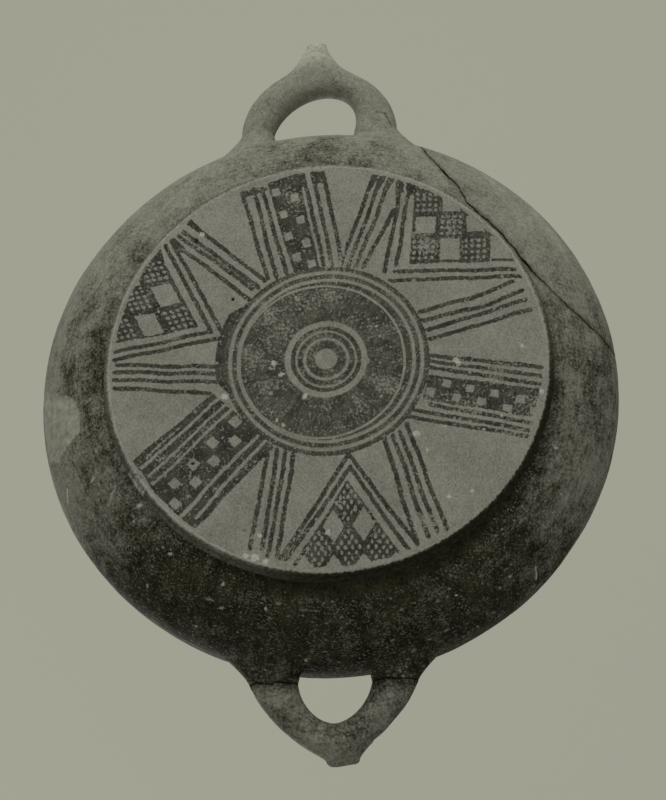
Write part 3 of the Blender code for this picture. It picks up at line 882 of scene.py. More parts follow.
def handle_outlines(shape, count, seed):
    """The hole's edge and the handle's outer edge in plan, each cut into equal lengths. The outer edge joins
    the loop's and the horn's edges, seen from the middle of the hole's foot, by a power mean of their
    distances, which rounds the corner between them."""
    hole_length, hole_half, hole_aside, lean, hole_power = shape["hole"]
    loop_length, loop_half, loop_aside, power = shape["loop"]
    turn = np.linspace(-math.pi / 2, math.pi / 2, 361)
    hole = arch(hole_length, hole_half, hole_power, turn)
    hole[:, 1] += lean * hole[:, 0]
    loop = arch(loop_length, loop_half, power, turn)
    loop[:, 1] += loop_aside - hole_aside
    horn = horn_outline(loop_length, shape["horn"], hole_aside)
    look = np.linspace(-math.pi / 2, math.pi / 2, 1801)

    def seen(path, beyond):
        bearing = np.arctan2(path[:, 1], path[:, 0])
        order = np.argsort(bearing)
        return np.interp(look, bearing[order], np.hypot(*path.T)[order], left=beyond, right=beyond)

    reach = seen(loop, None) ** CORNER_POWER + seen(horn, 0.0) ** CORNER_POWER
    outer = evenly(on_circle(reach ** (1 / CORNER_POWER), look), count)
    hole = evenly(hole, count)
    inwards = np.sin(np.linspace(0.0, math.pi, count)) * hollows(outer, ((13.0, 0.35, seed),))
    outer = outer - inwards[:, None] * outer / np.linalg.norm(outer, axis=1)[:, None]
    base = np.array([shape["start"], hole_aside])
    return hole + base, outer + base


def root_edges(first, inner, outer, side, count):
    """One root's two edges in plan, from where the arm starts back into the wall, spreading as they go."""
    back = np.linspace(0.0, ROOT_REACH, count)[:, None]
    spread = back ** ROOT_POWER
    near = np.concatenate([first - ROOT_IN * back, inner - side * ROOT_SPREAD_IN * spread], axis=1)
    far = np.concatenate([first - ROOT_OUT * back, outer + side * ROOT_SPREAD_OUT * spread], axis=1)
    return near, far, back[:, 0]


def ring_surface(near, far, back, edges, shape, seed):
    """Rings of points round the coil between its two edges in plan.

    Across a ring the place goes as (1 - cos) / 2. The half height is that of an ellipse whose half width is
    half the coil's own width: height x sqrt(1 - (1 - d / R)^2), with d the distance to each edge. It falls
    towards the horn's tip and grows near the wall, where the root flares."""
    angle = np.linspace(0.0, 2 * math.pi, COIL_COUNT, endpoint=False)
    share = (1 - np.cos(angle)) / 2
    plan = near[:, None] + (far - near)[:, None] * share[None, :, None]
    flat = plan.reshape(-1, 2)
    inner_gap = path_distance(flat, edges[0]).reshape(plan.shape[:2])
    outer_gap = path_distance(flat, edges[1]).reshape(plan.shape[:2])
    in_root = np.clip(back, 0.0, 1.0)[:, None]
    limit = ROUND_HALF_WIDTH + ROUND_GROWTH * in_root
    half_width = np.minimum((inner_gap + outer_gap) / 2, limit) + 1e-6
    rounding = 1.0
    for gap in (inner_gap, outer_gap):
        rounding = rounding * np.sqrt(np.clip(1 - (1 - np.minimum(gap / half_width, 1.0)) ** 2, 0.0, 1.0))
    loop_end = shape["start"] + shape["loop"][0]
    towards_tip = smooth(plan[..., 0], loop_end - 8.0, loop_end + shape["horn"][0])
    high = COIL_HALF_HEIGHT + (shape["tip_half_height"] - COIL_HALF_HEIGHT) * towards_tip
    high = high + ROOT_GROWTH * in_root ** ROOT_POWER
    distance = np.hypot(plan[..., 0], plan[..., 1])
    high = high + SWELL * np.exp(-np.maximum(distance - BELLY_RADIUS, -5.0) / SWELL_FADE)
    high = np.minimum(high, MOST_HALF_HEIGHT)
    spots = np.concatenate([flat, np.zeros((len(flat), 1))], axis=1)
    high = high * (1 - PRESSED_SHARE * (1 + waves(spots, 11.0, seed)).reshape(high.shape))
    middle = BELLY_HEIGHT + LAID_UNEVEN * waves(spots, 40.0, seed + 1).reshape(high.shape)
    level = middle + np.sign(np.sin(angle))[None] * high * rounding
    level = np.where(share[None] * (1 - share[None]) < 1e-9, middle, level)
    outside = lower_profile()
    in_wall = np.interp(level, outside[:, 1], outside[:, 0]) - ROOT_SUNK
    plan = plan * (np.maximum(distance, in_wall) / distance)[..., None]
    return cap_rings(np.concatenate([plan, level[..., None]], axis=-1))


def cap_rings(rings):
    """Close both ends with the end ring drawn in to its middle in steps."""
    def steps_in(ring):
        middle = ring.mean(axis=0)
        return np.stack([middle + (ring - middle) * size for size in CAP_STEPS])

    return np.concatenate([steps_in(rings[0])[::-1], rings, steps_in(rings[-1])])


def place_handle(name, rings, facing, material, nodes, values=None):
    """Turn rings that were measured outwards into a piece on its own side of the dish."""
    points = rings.reshape(-1, 3) * [facing, 1.0, 1.0]
    faces = grid_faces(*rings.shape[:2])
    values = dict(values or {}, cover=handle_cover(points))
    add_piece(name, points, faces, material, values, nodes, turn_out=True)


def handle_cover(points):
    """How much dark paint is left on a handle: little on the tall one and none on its horn, whose clay is
    paler, and more on the lower one, most on its roots and its right arm."""
    x, y = points[:, 0], points[:, 1]
    tall = 0.14 - 0.46 * smooth(x, 163.0, 178.0) - 0.08 * smooth(y, 6.0, 14.0) * smooth(x, 145.0, 155.0)
    low = 0.82 - 0.40 * smooth(-x, 132.0, 140.0) - 0.10 * smooth(-x, 158.0, 165.0)
    low = low + 0.14 * smooth(y, -4.0, 10.0) * smooth(x, -166.0, -156.0)
    return np.where(x > 0, tall, low)


def make_upper_handle(material):
    shape = UPPER_HANDLE
    hole, outer = handle_outlines(shape, EDGE_COUNT, 71)
    left = root_edges(shape["start"], hole[0, 1], outer[0, 1], -1, UPPER_ROOT_COUNT)
    right = root_edges(shape["start"], hole[-1, 1], outer[-1, 1], 1, UPPER_ROOT_COUNT)
    near = np.concatenate([left[0][:0:-1], hole, right[0][1:]])
    far = np.concatenate([left[1][:0:-1], outer, right[1][1:]])
    back = np.concatenate([left[2][:0:-1], np.zeros(len(hole)), right[2][1:]])
    rings = ring_surface(near, far, back, (near, far), shape, 72)
    place_handle("upper_handle", rings, 1, material,
                 ["upper_handle_loop", "upper_handle_horn"])


def with_broken_face(rings):
    """The coil's rings with an uneven broken face, whose steps fade away from the break."""
    steps = uneven(rings.reshape(-1, 3) * [0.0, 1.0, 1.0], BREAK_STEPS)
    fade = np.exp(-((rings[..., 0] - LOWER_BREAK) / BREAK_FADE) ** 2)
    shifted = rings.copy()
    shifted[..., 0] += steps.reshape(fade.shape) * fade
    return shifted


def from_break(rings):
    """Each point's distance from the break, as the measure that the dirt there is painted by."""
    return {"break": np.minimum(np.abs(rings[..., 0] - LOWER_BREAK).ravel(), CRACK_REACH)}


def make_lower_handle(loop_material, root_material):
    shape = LOWER_HANDLE
    hole, outer = handle_outlines(shape, EDGE_COUNT, 76)
    arms = (hole[0, 1], outer[0, 1]), (hole[-1, 1], outer[-1, 1])
    roots = {side: root_edges(LOWER_BREAK, *arm, side, LOWER_ROOT_COUNT) for side, arm in zip((-1, 1), arms)}
    near_all = np.concatenate([roots[-1][0][::-1], hole, roots[1][0]])
    far_all = np.concatenate([roots[-1][1][::-1], outer, roots[1][1]])
    loop_start = LOWER_BREAK + BREAK_GAP
    kept = np.minimum(hole[:, 0], outer[:, 0]) > loop_start + LEAST_STEP
    starts = [np.array([[loop_start, value] for value in arm]) for arm in arms]
    near = np.concatenate([starts[0][:1], hole[kept], starts[1][:1]])
    far = np.concatenate([starts[0][1:], outer[kept], starts[1][1:]])
    rings = ring_surface(near, far, np.zeros(len(near)), (near_all, far_all), shape, 77)
    rings = chip_lower_horn(with_broken_face(rings))
    place_handle("lower_handle", rings, -1, loop_material,
                 ["lower_handle_loop", "lower_handle_horn"], from_break(rings))
    for side, name in ((-1, "left"), (1, "right")):
        near, far, back = roots[side]
        rings = with_broken_face(ring_surface(near, far, back, (near_all, far_all), shape, 77))
        place_handle(f"lower_{name}_root", rings, -1, root_material,
                     [f"lower_handle_{name}_root"], from_break(rings))


def chip_lower_horn(rings):
    """A small hollow where the horn's tip is chipped: points near it are moved inwards, most at its
    middle."""
    distance = np.linalg.norm(rings - np.array(TIP_CHIP_PLACE), axis=-1, keepdims=True)
    return rings + (1 - smooth(distance, *TIP_CHIP_REACH)) * np.array(TIP_CHIP_MOVE)


# Materials

class Reading:
    """One number at every spot of a surface. Plus, minus and times work on it as on any number."""

    def __init__(self, recipe, socket):
        self.recipe = recipe
        self.socket = socket

    def __add__(self, other):
        return self.recipe.work("ADD", self, other)

    def __sub__(self, other):
        return self.recipe.work("SUBTRACT", self, other)

    def __rsub__(self, other):
        return self.recipe.work("SUBTRACT", other, self)

    def __mul__(self, other):
        return self.recipe.work("MULTIPLY", self, other)


# Strewn flecks: softness of their edge, least share of their size and least strength
FLECK_EDGE = 0.06
FLECK_LEAST_SIZE = 0.4
FLECK_LEAST_STRENGTH = 0.25

# Relief of the clay's sandy grain and pits, in millimetres, and the strengths of grain, pits and paint
GRAIN_DEPTH = 0.16
GRAIN_STRENGTH = 0.8
PIT_STRENGTH = 0.7
PAINT_STRENGTH = 0.6


class Recipe:
    """A material's nodes, with short calls for the steps that its finish is written with. Noise is given by
    the size of its features in millimetres, its detail and its roughness."""

    def __init__(self, name, roughness, gloss):
        self.material = bpy.data.materials.new(name)
        self.material.use_nodes = True
        self.tree = self.material.node_tree
        self.shader = self.tree.nodes["Principled BSDF"]
        self.shader.inputs["Roughness"].default_value = roughness
        self.shader.inputs["Specular IOR Level"].default_value = gloss
        self.place = self.node("ShaderNodeTexCoord").outputs["Object"]

    def node(self, kind, values=(), **settings):
        """A new node with its settings, and its inputs fed in order with the values."""
        made = self.tree.nodes.new(kind)
        for name, value in settings.items():
            setattr(made, name, value)
        for socket, value in zip(made.inputs, values):
            self.feed(socket, value)
        return made

    def feed(self, socket, value):
        if isinstance(value, Reading):
            value = value.socket
        if isinstance(value, bpy.types.NodeSocket):
            self.tree.links.new(value, socket)
        else:
            socket.default_value = value

    def work(self, operation, *values, clamp=False):
        """Arithmetic on numbers, such as MULTIPLY or MAXIMUM."""
        made = self.node("ShaderNodeMath", values, operation=operation, use_clamp=clamp)
        return Reading(self, made.outputs[0])

    def vector(self, operation, *values):
        """Arithmetic on places. A length, a distance and a product of two directions are numbers."""
        made = self.node("ShaderNodeVectorMath", values, operation=operation)
        if operation in ("LENGTH", "DISTANCE", "DOT_PRODUCT"):
            return Reading(self, made.outputs["Value"])
        return made.outputs["Vector"]

    def scale(self, value, factor):
        """A colour or a place times a number."""
        made = self.node("ShaderNodeVectorMath", [value], operation="SCALE")
        self.feed(made.inputs["Scale"], factor)
        return made.outputs[0]

    def join(self, x, y, z):
        return self.node("ShaderNodeCombineXYZ", (x, y, z)).outputs[0]

    def measure(self, name):
        return Reading(self, self.node("ShaderNodeAttribute", attribute_name=name).outputs["Fac"])

    def spread(self, value, between, give=(0.0, 1.0)):
        """Carry a value from the range between over to the range give, smoothly and no further."""
        made = self.node("ShaderNodeMapRange", (value, *between, *give), clamp=True,
                         interpolation_type="SMOOTHSTEP")
        return Reading(self, made.outputs["Result"])

    def cloud_node(self, size, where=None):
        made = self.node("ShaderNodeTexNoise", [where or self.place], noise_dimensions="3D")
        made.inputs["Scale"].default_value = 1.0 / (size * MM)
        return made

    def noise(self, size, detail=3.0, rough=0.55, where=None, bend=0.0):
        """Cloudy noise about one half."""
        made = self.cloud_node(size, where)
        made.inputs["Detail"].default_value = detail
        made.inputs["Roughness"].default_value = rough
        made.inputs["Distortion"].default_value = bend
        return Reading(self, made.outputs["Fac"])

    def sway(self, amount, *noise, **more):
        """Cloudy noise about zero: the amount times the noise less one half."""
        return self.work("MULTIPLY_ADD", self.noise(*noise, **more), amount, -amount / 2)

    def clouds(self, size, detail, rough, between, give=(0.0, 1.0)):
        """Cloudy noise whose range between is carried over to the range give."""
        return self.spread(self.noise(size, detail, rough), between, give)

    def stir(self, where, size, reach):
        """A place moved about by cloudy noise, differently along x, y and z."""
        return self.vector("ADD", where, self.scale(self.cloud_node(size).outputs["Color"], reach))

    def flecks(self, cell, radius, share, where=None):
        """Small separate spots: in a share of the cells, one within the radius of the cell's own point."""
        made = self.node("ShaderNodeTexVoronoi", [where or self.place], feature="F1", voronoi_dimensions="3D")
        made.inputs["Scale"].default_value = 1.0 / (cell * MM)
        split = self.node("ShaderNodeSeparateColor", [made.outputs["Color"]])
        chance, size, strength = [Reading(self, output) for output in split.outputs]
        reach = size * (radius / cell) + FLECK_LEAST_SIZE * radius / cell
        inside = self.spread(reach - Reading(self, made.outputs["Distance"]), (-FLECK_EDGE, FLECK_EDGE))
        strength = strength * (1 - FLECK_LEAST_STRENGTH) + FLECK_LEAST_STRENGTH
        return inside * self.work("LESS_THAN", chance, share) * strength

    def most(self, *values):
        """The greatest of several numbers."""
        best = values[0]
        for value in values[1:]:
            best = self.work("MAXIMUM", value, best)
        return best

    def mix(self, share, first, second):
        """The first colour, giving way to the second by the share."""
        made = self.node("ShaderNodeMix", data_type="RGBA")
        self.feed(made.inputs["Factor"], share)
        for socket, value in ((made.inputs[6], first), (made.inputs[7], second)):
            self.feed(socket, value if isinstance(value, bpy.types.NodeSocket) else (*value, 1.0))
        return made.outputs[2]

    def bump(self, height, depth, strength, onto=None):
        made = self.node("ShaderNodeBump")
        made.inputs["Distance"].default_value = depth * MM
        made.inputs["Strength"].default_value = strength
        self.feed(made.inputs["Height"], height)
        if onto is not None:
            self.feed(made.inputs["Normal"], onto)
        return made.outputs["Normal"]

    def finish(self, colour, paint, paint_depth):
        """Give the material its colour, and as relief fine sandy grain, small pits and the paint on top."""
        grain = self.bump(self.noise(0.9, 4.0, 0.6), GRAIN_DEPTH, GRAIN_STRENGTH)
        pits = self.bump(1.0 - self.flecks(2.6, 0.34, 0.22), GRAIN_DEPTH, PIT_STRENGTH, grain)
        self.feed(self.shader.inputs["Base Color"], colour)
        self.feed(self.shader.inputs["Normal"], self.bump(paint, paint_depth, PAINT_STRENGTH, pits))
        return self.material


# Range of cloudy noise that most tones are read from
MIDDLE = (0.3, 0.7)

# Foot's painted medallion: the edges of its rings outwards from a pale middle, pale and dark in turn, their
# blur, and one thin pale ring a little off the centre with the half widths between which it fades
RING_EDGES = (4.8, 8.7, 10.1, 12.5, 13.4, 15.4, 18.0, 37.4, 38.9, 40.9, 42.5, 44.4)
RING_BLUR = 0.16
RAMP_REACH = 100
MEDALLION_EDGE = (43.0, 45.0)
THIN_RING_CENTRE = (-0.6 * MM, -1.8 * MM, 0.0)
THIN_RING_RADIUS = 35.8
THIN_RING_HALF = (0.30, 0.72)

# Foot's brushwork: how far the hand and the brush's hairs stray, the lattice's pitch and how its dots fade
HAND_STRAY = 1.1
BRUSH_STRAY = 1.5
STROKE_EDGE = (-0.22, 0.26)
LATTICE_PITCH = 2.8
LATTICE_SHIFT = 20.0
DOT_EDGE = (-0.22, 0.22)
FOOT_PAINT_DEPTH = 0.06

# Foot's edge: the way to the side that is rubbed pale and given painted light, its far side being given
# painted shade, and the radii of the rubbed ridge and of the wall's paint
LIT_AND_RUBBED_SIDE = (0.78, -0.62, 0.0)
LIT_AND_RUBBED_SHARE = (-0.82, -0.35)
RIDGE_START = (94.4, 94.9)
RIDGE_END = (95.0, 95.5)
WALL_PAINT_START = (95.5, 96.2)


def foot_material():
    """Pale slip with dark painted lines. Paint shows where its measure is above zero, and fails where it is
    worn."""
    recipe = Recipe("painted_foot_slip", roughness=0.80, gloss=0.12)
    from_centre = recipe.vector("SUBTRACT", recipe.place, (0.0, FOOT_OFFSET * MM, 0.0))
    spot = recipe.vector("MULTIPLY", from_centre, (1.0, 1.0, 0.0))
    radius = recipe.vector("LENGTH", spot) * (1 / MM)
    hand = recipe.sway(HAND_STRAY, 22, 2.0)
    brush = recipe.sway(BRUSH_STRAY, 1.7, 3.0, 0.65)
    drawn = radius + hand + brush * 0.5
    in_medallion = recipe.spread(radius, MEDALLION_EDGE, give=(1.0, 0.0))

    lines = recipe.spread(recipe.measure("paint") + brush, STROKE_EDGE) * (1.0 - lattice_dots(recipe))
    paint = recipe.most(ring_paint(recipe, spot, drawn, hand), lines)
    cover = paint * foot_wear(recipe, in_medallion)
    colour = recipe.mix(cover * 0.97, foot_slip(recipe), foot_paint(recipe, in_medallion))
    # The rim, with painted light on the side of the tall horn and painted shade on the other side
    colour = foot_edge_with_light_and_shade(recipe, colour, spot, drawn + brush)

    bare = recipe.spread(recipe.measure("flake"), (-0.2, 0.5)) * 0.85
    chalk = recipe.scale(CHALKY, recipe.clouds(2.0, 4.0, 0.7, between=(0.35, 0.65), give=(0.35, 1.0)))
    colour = recipe.mix(bare, colour, chalk)
    crust = recipe.spread(recipe.measure("crust") + recipe.sway(2.4, 1.1, 3.0, 0.65) - 0.1, (-0.40, 0.40))
    thickness = recipe.clouds(1.6, 3.0, 0.6, between=(0.3, 0.6), give=(0.35, 0.85))
    colour = recipe.mix(crust * thickness, colour, CHALKY)
    colour = recipe.mix(recipe.spread(recipe.measure("pit"), (-0.1, 0.4)), colour, CRACK_DIRT)
    return recipe.finish(colour, cover + crust, FOOT_PAINT_DEPTH)


def foot_wear(recipe, in_medallion):
    """The share of the foot's paint that is left: it fails in grains, more in worn spots, and in flecks."""
    wear = recipe.noise(1.25, 4.0, 0.66) + recipe.sway(0.36, 9, 3.0)
    wear = wear + recipe.measure("worn") * 0.11 + in_medallion * 0.012
    specks = recipe.most(recipe.flecks(3.2, 0.62, 0.46), recipe.flecks(1.6, 0.36, 0.34))
    return recipe.spread(wear, (0.53, 0.68), give=(1.0, 0.12)) * (1.0 - specks)


def foot_slip(recipe):
    """Pale slip, mottled in three sizes, with thin stains."""
    tone = recipe.clouds(26, 3.0, 0.55, MIDDLE, give=(0.90, 1.10))
    tone = tone + recipe.clouds(0.95, 3.0, 0.7, MIDDLE, give=(-0.24, 0.24))
    tone = tone + recipe.clouds(3.6, 3.0, 0.6, MIDDLE, give=(-0.09, 0.09))
    stain = recipe.most(recipe.flecks(6.5, 0.5, 0.40), recipe.clouds(2.6, 4.0, 0.7, between=(0.62, 0.72)))
    return recipe.mix(stain * 0.45, recipe.scale(PALE_SLIP, tone), THIN_PAINT)


def foot_paint(recipe, in_medallion):
    """Dark paint of the lines, thicker and thinner, and a little paler in the medallion."""
    tone = recipe.clouds(7.5, 4.0, 0.6, between=(0.34, 0.68), give=(0.70, 1.9))
    tone = tone * recipe.clouds(1.3, 3.0, 0.65, between=(0.32, 0.70), give=(0.65, 1.45))
    return recipe.scale(LINE_PAINT, tone * (in_medallion * 0.45 + 1.0))


def ring_paint(recipe, spot, drawn, hand):
    """Paint of the medallion: dark and pale rings by radius, without the one thin pale ring."""
    rings = recipe.node("ShaderNodeValToRGB", [drawn * (1 / RAMP_REACH)])
    ramp = rings.color_ramp
    ramp.interpolation = "LINEAR"
    ramp.elements[0].color = ramp.elements[1].color = (0.0, 0.0, 0.0, 1.0)
    dark = 0.0
    for edge in RING_EDGES:
        for position, value in ((edge - RING_BLUR, dark), (edge + RING_BLUR, 1.0 - dark)):
            ramp.elements.new(position / RAMP_REACH).color = (value, value, value, 1.0)
        dark = 1.0 - dark
    aside = recipe.vector("DISTANCE", spot, THIN_RING_CENTRE) * (1 / MM) + hand
    from_thin_ring = recipe.work("ABSOLUTE", aside - THIN_RING_RADIUS)
    return Reading(recipe, rings.outputs["Color"]) * recipe.spread(from_thin_ring, THIN_RING_HALF)


def foot_edge_with_light_and_shade(recipe, colour, spot, reach):
    """The foot's rim: rubbed pale along the flat's edge on the side of the tall horn and the left, where a
    painted highlight also brightens the ridge and lightens the wall's paint on the rounded edge and the side.
    That paint is darkest, as painted shade, towards the lower horn and the right."""
    side = recipe.vector("DOT_PRODUCT", recipe.vector("NORMALIZE", spot), LIT_AND_RUBBED_SIDE)
    # How far the rim faces the light: painted light on this side and painted shade on the other, besides the
    # rubbing
    lit_and_rubbed = recipe.spread(side, LIT_AND_RUBBED_SHARE)
    ridge = recipe.spread(reach, RIDGE_START) * recipe.spread(reach, RIDGE_END, give=(1.0, 0.0))
    patchy = recipe.clouds(5.0, 4.0, 0.65, between=(0.34, 0.60), give=(0.25, 1.3))
    colour = recipe.mix(ridge * (lit_and_rubbed * 0.24 + 0.04) * patchy, colour, CHALKY)
    tone = recipe.clouds(1.8, 4.0, 0.7, MIDDLE, give=(0.5, 1.7))
    painted = recipe.scale(recipe.mix(lit_and_rubbed, DARK_PAINT, THIN_PAINT), tone)
    return recipe.mix(recipe.spread(reach, WALL_PAINT_START), colour, painted)


def lattice_dots(recipe):
    """Pale dots at an even pitch along and across each lattice block: distance from the middle of a cell."""
    from_middle = []
    for name in ("weave_along", "weave_across"):
        cell = recipe.work("FRACT", recipe.measure(name) * (1.0 / LATTICE_PITCH) + LATTICE_SHIFT)
        from_middle.append((cell - 0.5) * LATTICE_PITCH)
    size = recipe.clouds(4.5, 2.0, 0.55, between=(0.32, 0.66), give=(0.62, 0.98)) + recipe.sway(0.9, 1.4, 2.0)
    inside = size - recipe.vector("LENGTH", recipe.join(*from_middle, 0.0))
    within = recipe.spread(recipe.measure("lattice"), (0.1, 0.5))
    return recipe.spread(inside, DOT_EDGE, give=(0.0, 0.92)) * within


# Worn paint: how much the clouds and grains take off, each with its size, detail, roughness and weight, the
# streaks' weight and how much longer they and the grains are round the dish than across it
RUBBED_CLOUDS = ((16, 3.0, 0.6, 0.75), (4.6, 3.0, 0.6, 0.68), (1.15, 2.0, 0.6, 0.80))
STREAK_WEIGHT = 0.60
STREAK_STRETCH = 5.0
STREAK_BEND = 0.3
GRAIN_STRETCH = 1.15
WALL_PAINT_DEPTH = 0.08

# Sizes and reaches of the flaked specks, and how far they are pushed out of round, in metres
SPECKS = ((1.7, 0.34), (2.9, 0.50), (6.0, 0.80))
SPECK_STIR = 0.0014

# Runs along the dish's profile, in millimetres from the flat's edge: where the inside begins, and its bands
INSIDE_START = (76.0, 76.6)
INNER_BANDS = ((75.0, 92.0), (98.0, 99.6), (102.0, 103.6), (106.0, 107.6), (128.0, 134.0), (137.0, 138.4),
               (162.0, 163.6), (166.0, 167.6), (186.0, 199.0))
BAND_BLUR = 0.25

# Marks on the wall, in plan: from, to, half width, colour, strength
WALL_MARKS = (
    ((-47.6, -114.0), (-52.6, -114.2), 0.45, CHALKY, 0.75),
    ((-51.5, -90.3), (-59.2, -93.4), 0.35, CHALKY, 0.45),
    ((-46.2, -100.0), (-48.0, -101.6), 0.5, CHALKY, 0.6),
    ((-94.7, 87.1), (-90.6, 86.8), 0.35, CHALKY, 0.8),
    ((-11.2, -111.5), (-20.0, -114.5), 0.35, DARK_PAINT, 0.7),
    ((-12.5, -108.4), (-22.5, -110.0), 0.30, DARK_PAINT, 0.6),
    ((-13.0, -106.8), (-12.0, -114.0), 0.40, DARK_PAINT, 0.5),
    ((-101.2, -52.2), (-102.6, -48.4), 0.5, CHALKY, 0.35),
    ((-108.5, -12.0), (-109.5, -4.0), 0.4, WORN_CLAY, 0.5),
)

# Brighter spots on the wall, in plan, with their radii
WALL_SPOTS = (
    (-82.5, -66.4, 0.8), (-96.6, -43.9, 0.8), (-93.3, -77.4, 0.8), (-107.4, -26.3, 0.7), (-105.5, -44.9, 0.8),
    (-126.5, -10.9, 0.8), (-110.8, -57.4, 0.8), (-67.5, -82.4, 0.7), (-61.0, -79.6, 1.2), (-42.4, 97.9, 0.8),
    (-103.9, 52.7, 0.6), (-113.7, 61.4, 0.6), (-100.0, 71.0, 0.6), (-95.6, 75.9, 0.7), (38.0, 92.7, 0.6),
)

# Hairline across the right arm of the tall handle, in plan, its half width and its strength
ARM_HAIRLINE = ((140.5, 26.4), (139.9, 30.5), (133.9, 33.4))
HAIRLINE_HALF = 0.25
HAIRLINE_STRENGTH = 0.6


def dish_material():
    """Dark paint over clay, brushed round the dish and rubbed thin towards the tall horn. Inside, pale slip
    with painted bands. The crack is dark with old dirt and the flaked patch is bare."""
    recipe = Recipe("worn_dish_paint", roughness=0.82, gloss=0.03)
    colour, cover = worn_paint(recipe)
    clay = recipe.scale(WORN_CLAY, recipe.clouds(2.8, 4.0, 0.7, MIDDLE, give=(0.95, 1.50)))
    colour = recipe.mix(recipe.spread(recipe.measure("bare"), (-0.6, 0.8)), colour, clay)
    for start, end, half_width, tone, strength in WALL_MARKS:
        mark = line_mark(recipe, recipe.place, on_wall(*start), on_wall(*end), half_width)
        colour = recipe.mix(mark * strength, colour, tone)
    colour = recipe.mix(wall_dots(recipe), colour, CHALKY)
    run = recipe.measure("run")
    colour = recipe.mix(recipe.spread(run, INSIDE_START), colour, painted_inside(recipe, run))
    return recipe.finish(crack_dirt(recipe, colour), cover, WALL_PAINT_DEPTH)


def painted_inside(recipe, run):
    """Pale slip, and worn dark paint where the run along the profile lies within one of the bands."""
    place = run + recipe.sway(2.4, 20, 3.0)
    bands = 0.0
    for start, end in INNER_BANDS:
        gap = recipe.work("ABSOLUTE", place - (start + end) / 2)
        bands = recipe.most(bands, recipe.spread((end - start) / 2 - gap, (-BAND_BLUR, BAND_BLUR)))
    slip = recipe.scale(PALE_SLIP, recipe.clouds(14, 4.0, 0.6, MIDDLE, give=(0.8, 1.15)))
    left = recipe.clouds(2.4, 5.0, 0.70, between=(0.52, 0.72), give=(1.0, 0.30))
    return recipe.mix(bands * left, slip, LINE_PAINT)


def crack_dirt(recipe, colour):
    """A broad patchy stain beside the crack, and black dirt in it."""
    crack = recipe.measure("crack")
    patchy = recipe.clouds(12, 3.0, 0.55, between=(0.30, 0.60), give=(0.25, 1.0))
    stain = recipe.spread(crack + recipe.sway(4.0, 5.0, 4.0, 0.65), (-0.2, 3.2), give=(0.62, 0.0))
    dirt = recipe.spread(crack + recipe.sway(2.0, 3.0, 4.0, 0.7), (-0.2, 0.9), give=(0.85, 0.0))
    return recipe.mix(dirt * patchy, recipe.mix(stain * patchy, colour, DARK_PAINT), CRACK_DIRT)


def round_the_dish(recipe, stretch):
    """A place in which whatever is drawn comes out longer round the dish than across it, by the given
    factor: the direction from the axis times the wall's radius over the factor, and the distance out plus
    the height."""
    flat = recipe.vector("MULTIPLY", recipe.place, (1.0, 1.0, 0.0))
    height = recipe.node("ShaderNodeSeparateXYZ", [recipe.place]).outputs[2]
    up = recipe.join(0.0, 0.0, recipe.vector("LENGTH", flat) + height)
    round_it = recipe.scale(recipe.vector("NORMALIZE", flat), FLAT_WALL_RADIUS * MM / stretch)
    return recipe.vector("ADD", round_it, up)


def worn_paint(recipe):
    """Dark paint of which the measure "cover" is left, rubbed off in streaks that run round the dish, in
    clouds and in grains, with pale specks of clay where it has flaked. Gives the colour and the cover."""
    left = recipe.measure("cover")
    brushed = round_the_dish(recipe, STREAK_STRETCH)
    cover = left + recipe.sway(-STREAK_WEIGHT, 2.2, 3.0, 0.6, where=brushed, bend=STREAK_BEND)
    for size, detail, rough, weight in RUBBED_CLOUDS:
        cover = cover + recipe.sway(-weight, size, detail, rough)
    cover = recipe.spread(cover, (0.10, 0.92))
    clay_tone = recipe.clouds(2.6, 4.0, 0.7, MIDDLE, give=(0.82, 1.14))
    clay_tone = clay_tone + recipe.clouds(0.9, 3.0, 0.7, MIDDLE, give=(-0.22, 0.22))
    clay_tone = clay_tone * recipe.spread(left, (-0.45, 0.10), give=(1.65, 1.0))
    dark_tone = recipe.clouds(1.3, 3.0, 0.7, between=(0.32, 0.68), give=(0.6, 1.6))
    dark_tone = dark_tone * recipe.clouds(8.0, 4.0, 0.6, MIDDLE, give=(0.7, 1.5))
    colour = recipe.mix(cover, recipe.scale(WORN_CLAY, clay_tone), recipe.scale(DARK_PAINT, dark_tone))

    where = round_the_dish(recipe, GRAIN_STRETCH)
    clumps = recipe.sway(0.50, 9, 3.0, 0.6)
    grains = recipe.spread(recipe.noise(0.95, 1.0, 0.5, where) + clumps, (0.57, 0.66))
    share = recipe.spread(left, (0.15, 0.75), give=(0.08, 0.42))
    share = share * recipe.spread(left, (1.02, 1.25), give=(1.0, 0.1))
    stirred = recipe.stir(where, 2.2, SPECK_STIR)
    specks = recipe.most(*[recipe.flecks(cell, radius, share, stirred) for cell, radius in SPECKS])
    colour = recipe.mix(grains * (share * 0.85), colour, WORN_CLAY)
    colour = recipe.mix(specks * 0.55, colour, recipe.scale(CHALKY, 0.72))
    return colour, cover


def on_wall(x, y):
    """A spot on the outside of the wall, in metres, from its place in plan."""
    return np.array([x, y, float(outside_height(math.hypot(x, y)))]) * MM


def line_mark(recipe, place, start, end, half_width):
    """A short straight mark: within its half width in millimetres of the line from start to end."""
    step = end - start
    ahead = recipe.vector("SUBTRACT", place, tuple(start))
    along = recipe.vector("DOT_PRODUCT", ahead, tuple(step))
    share = recipe.work("MULTIPLY", along, 1.0 / float(step @ step), clamp=True)
    gap = recipe.vector("DISTANCE", ahead, recipe.scale(tuple(step), share)) + recipe.sway(1.2 * MM, 1.6, 2.0)
    return recipe.spread(gap, ((half_width - 0.3) * MM, (half_width + 0.4) * MM), give=(1.0, 0.0))


def wall_dots(recipe):
    """The brighter spots, with ragged edges: the greatest of radius less distance over all of them."""
    inside = [radius * MM - recipe.vector("DISTANCE", recipe.place, tuple(on_wall(x, y)))
              for x, y, radius in WALL_SPOTS]
    ragged = recipe.most(*inside) + recipe.sway(2.4 * MM, 1.3, 3.0)
    return recipe.spread(ragged, (-0.4 * MM, 0.4 * MM), give=(0.0, 0.70))


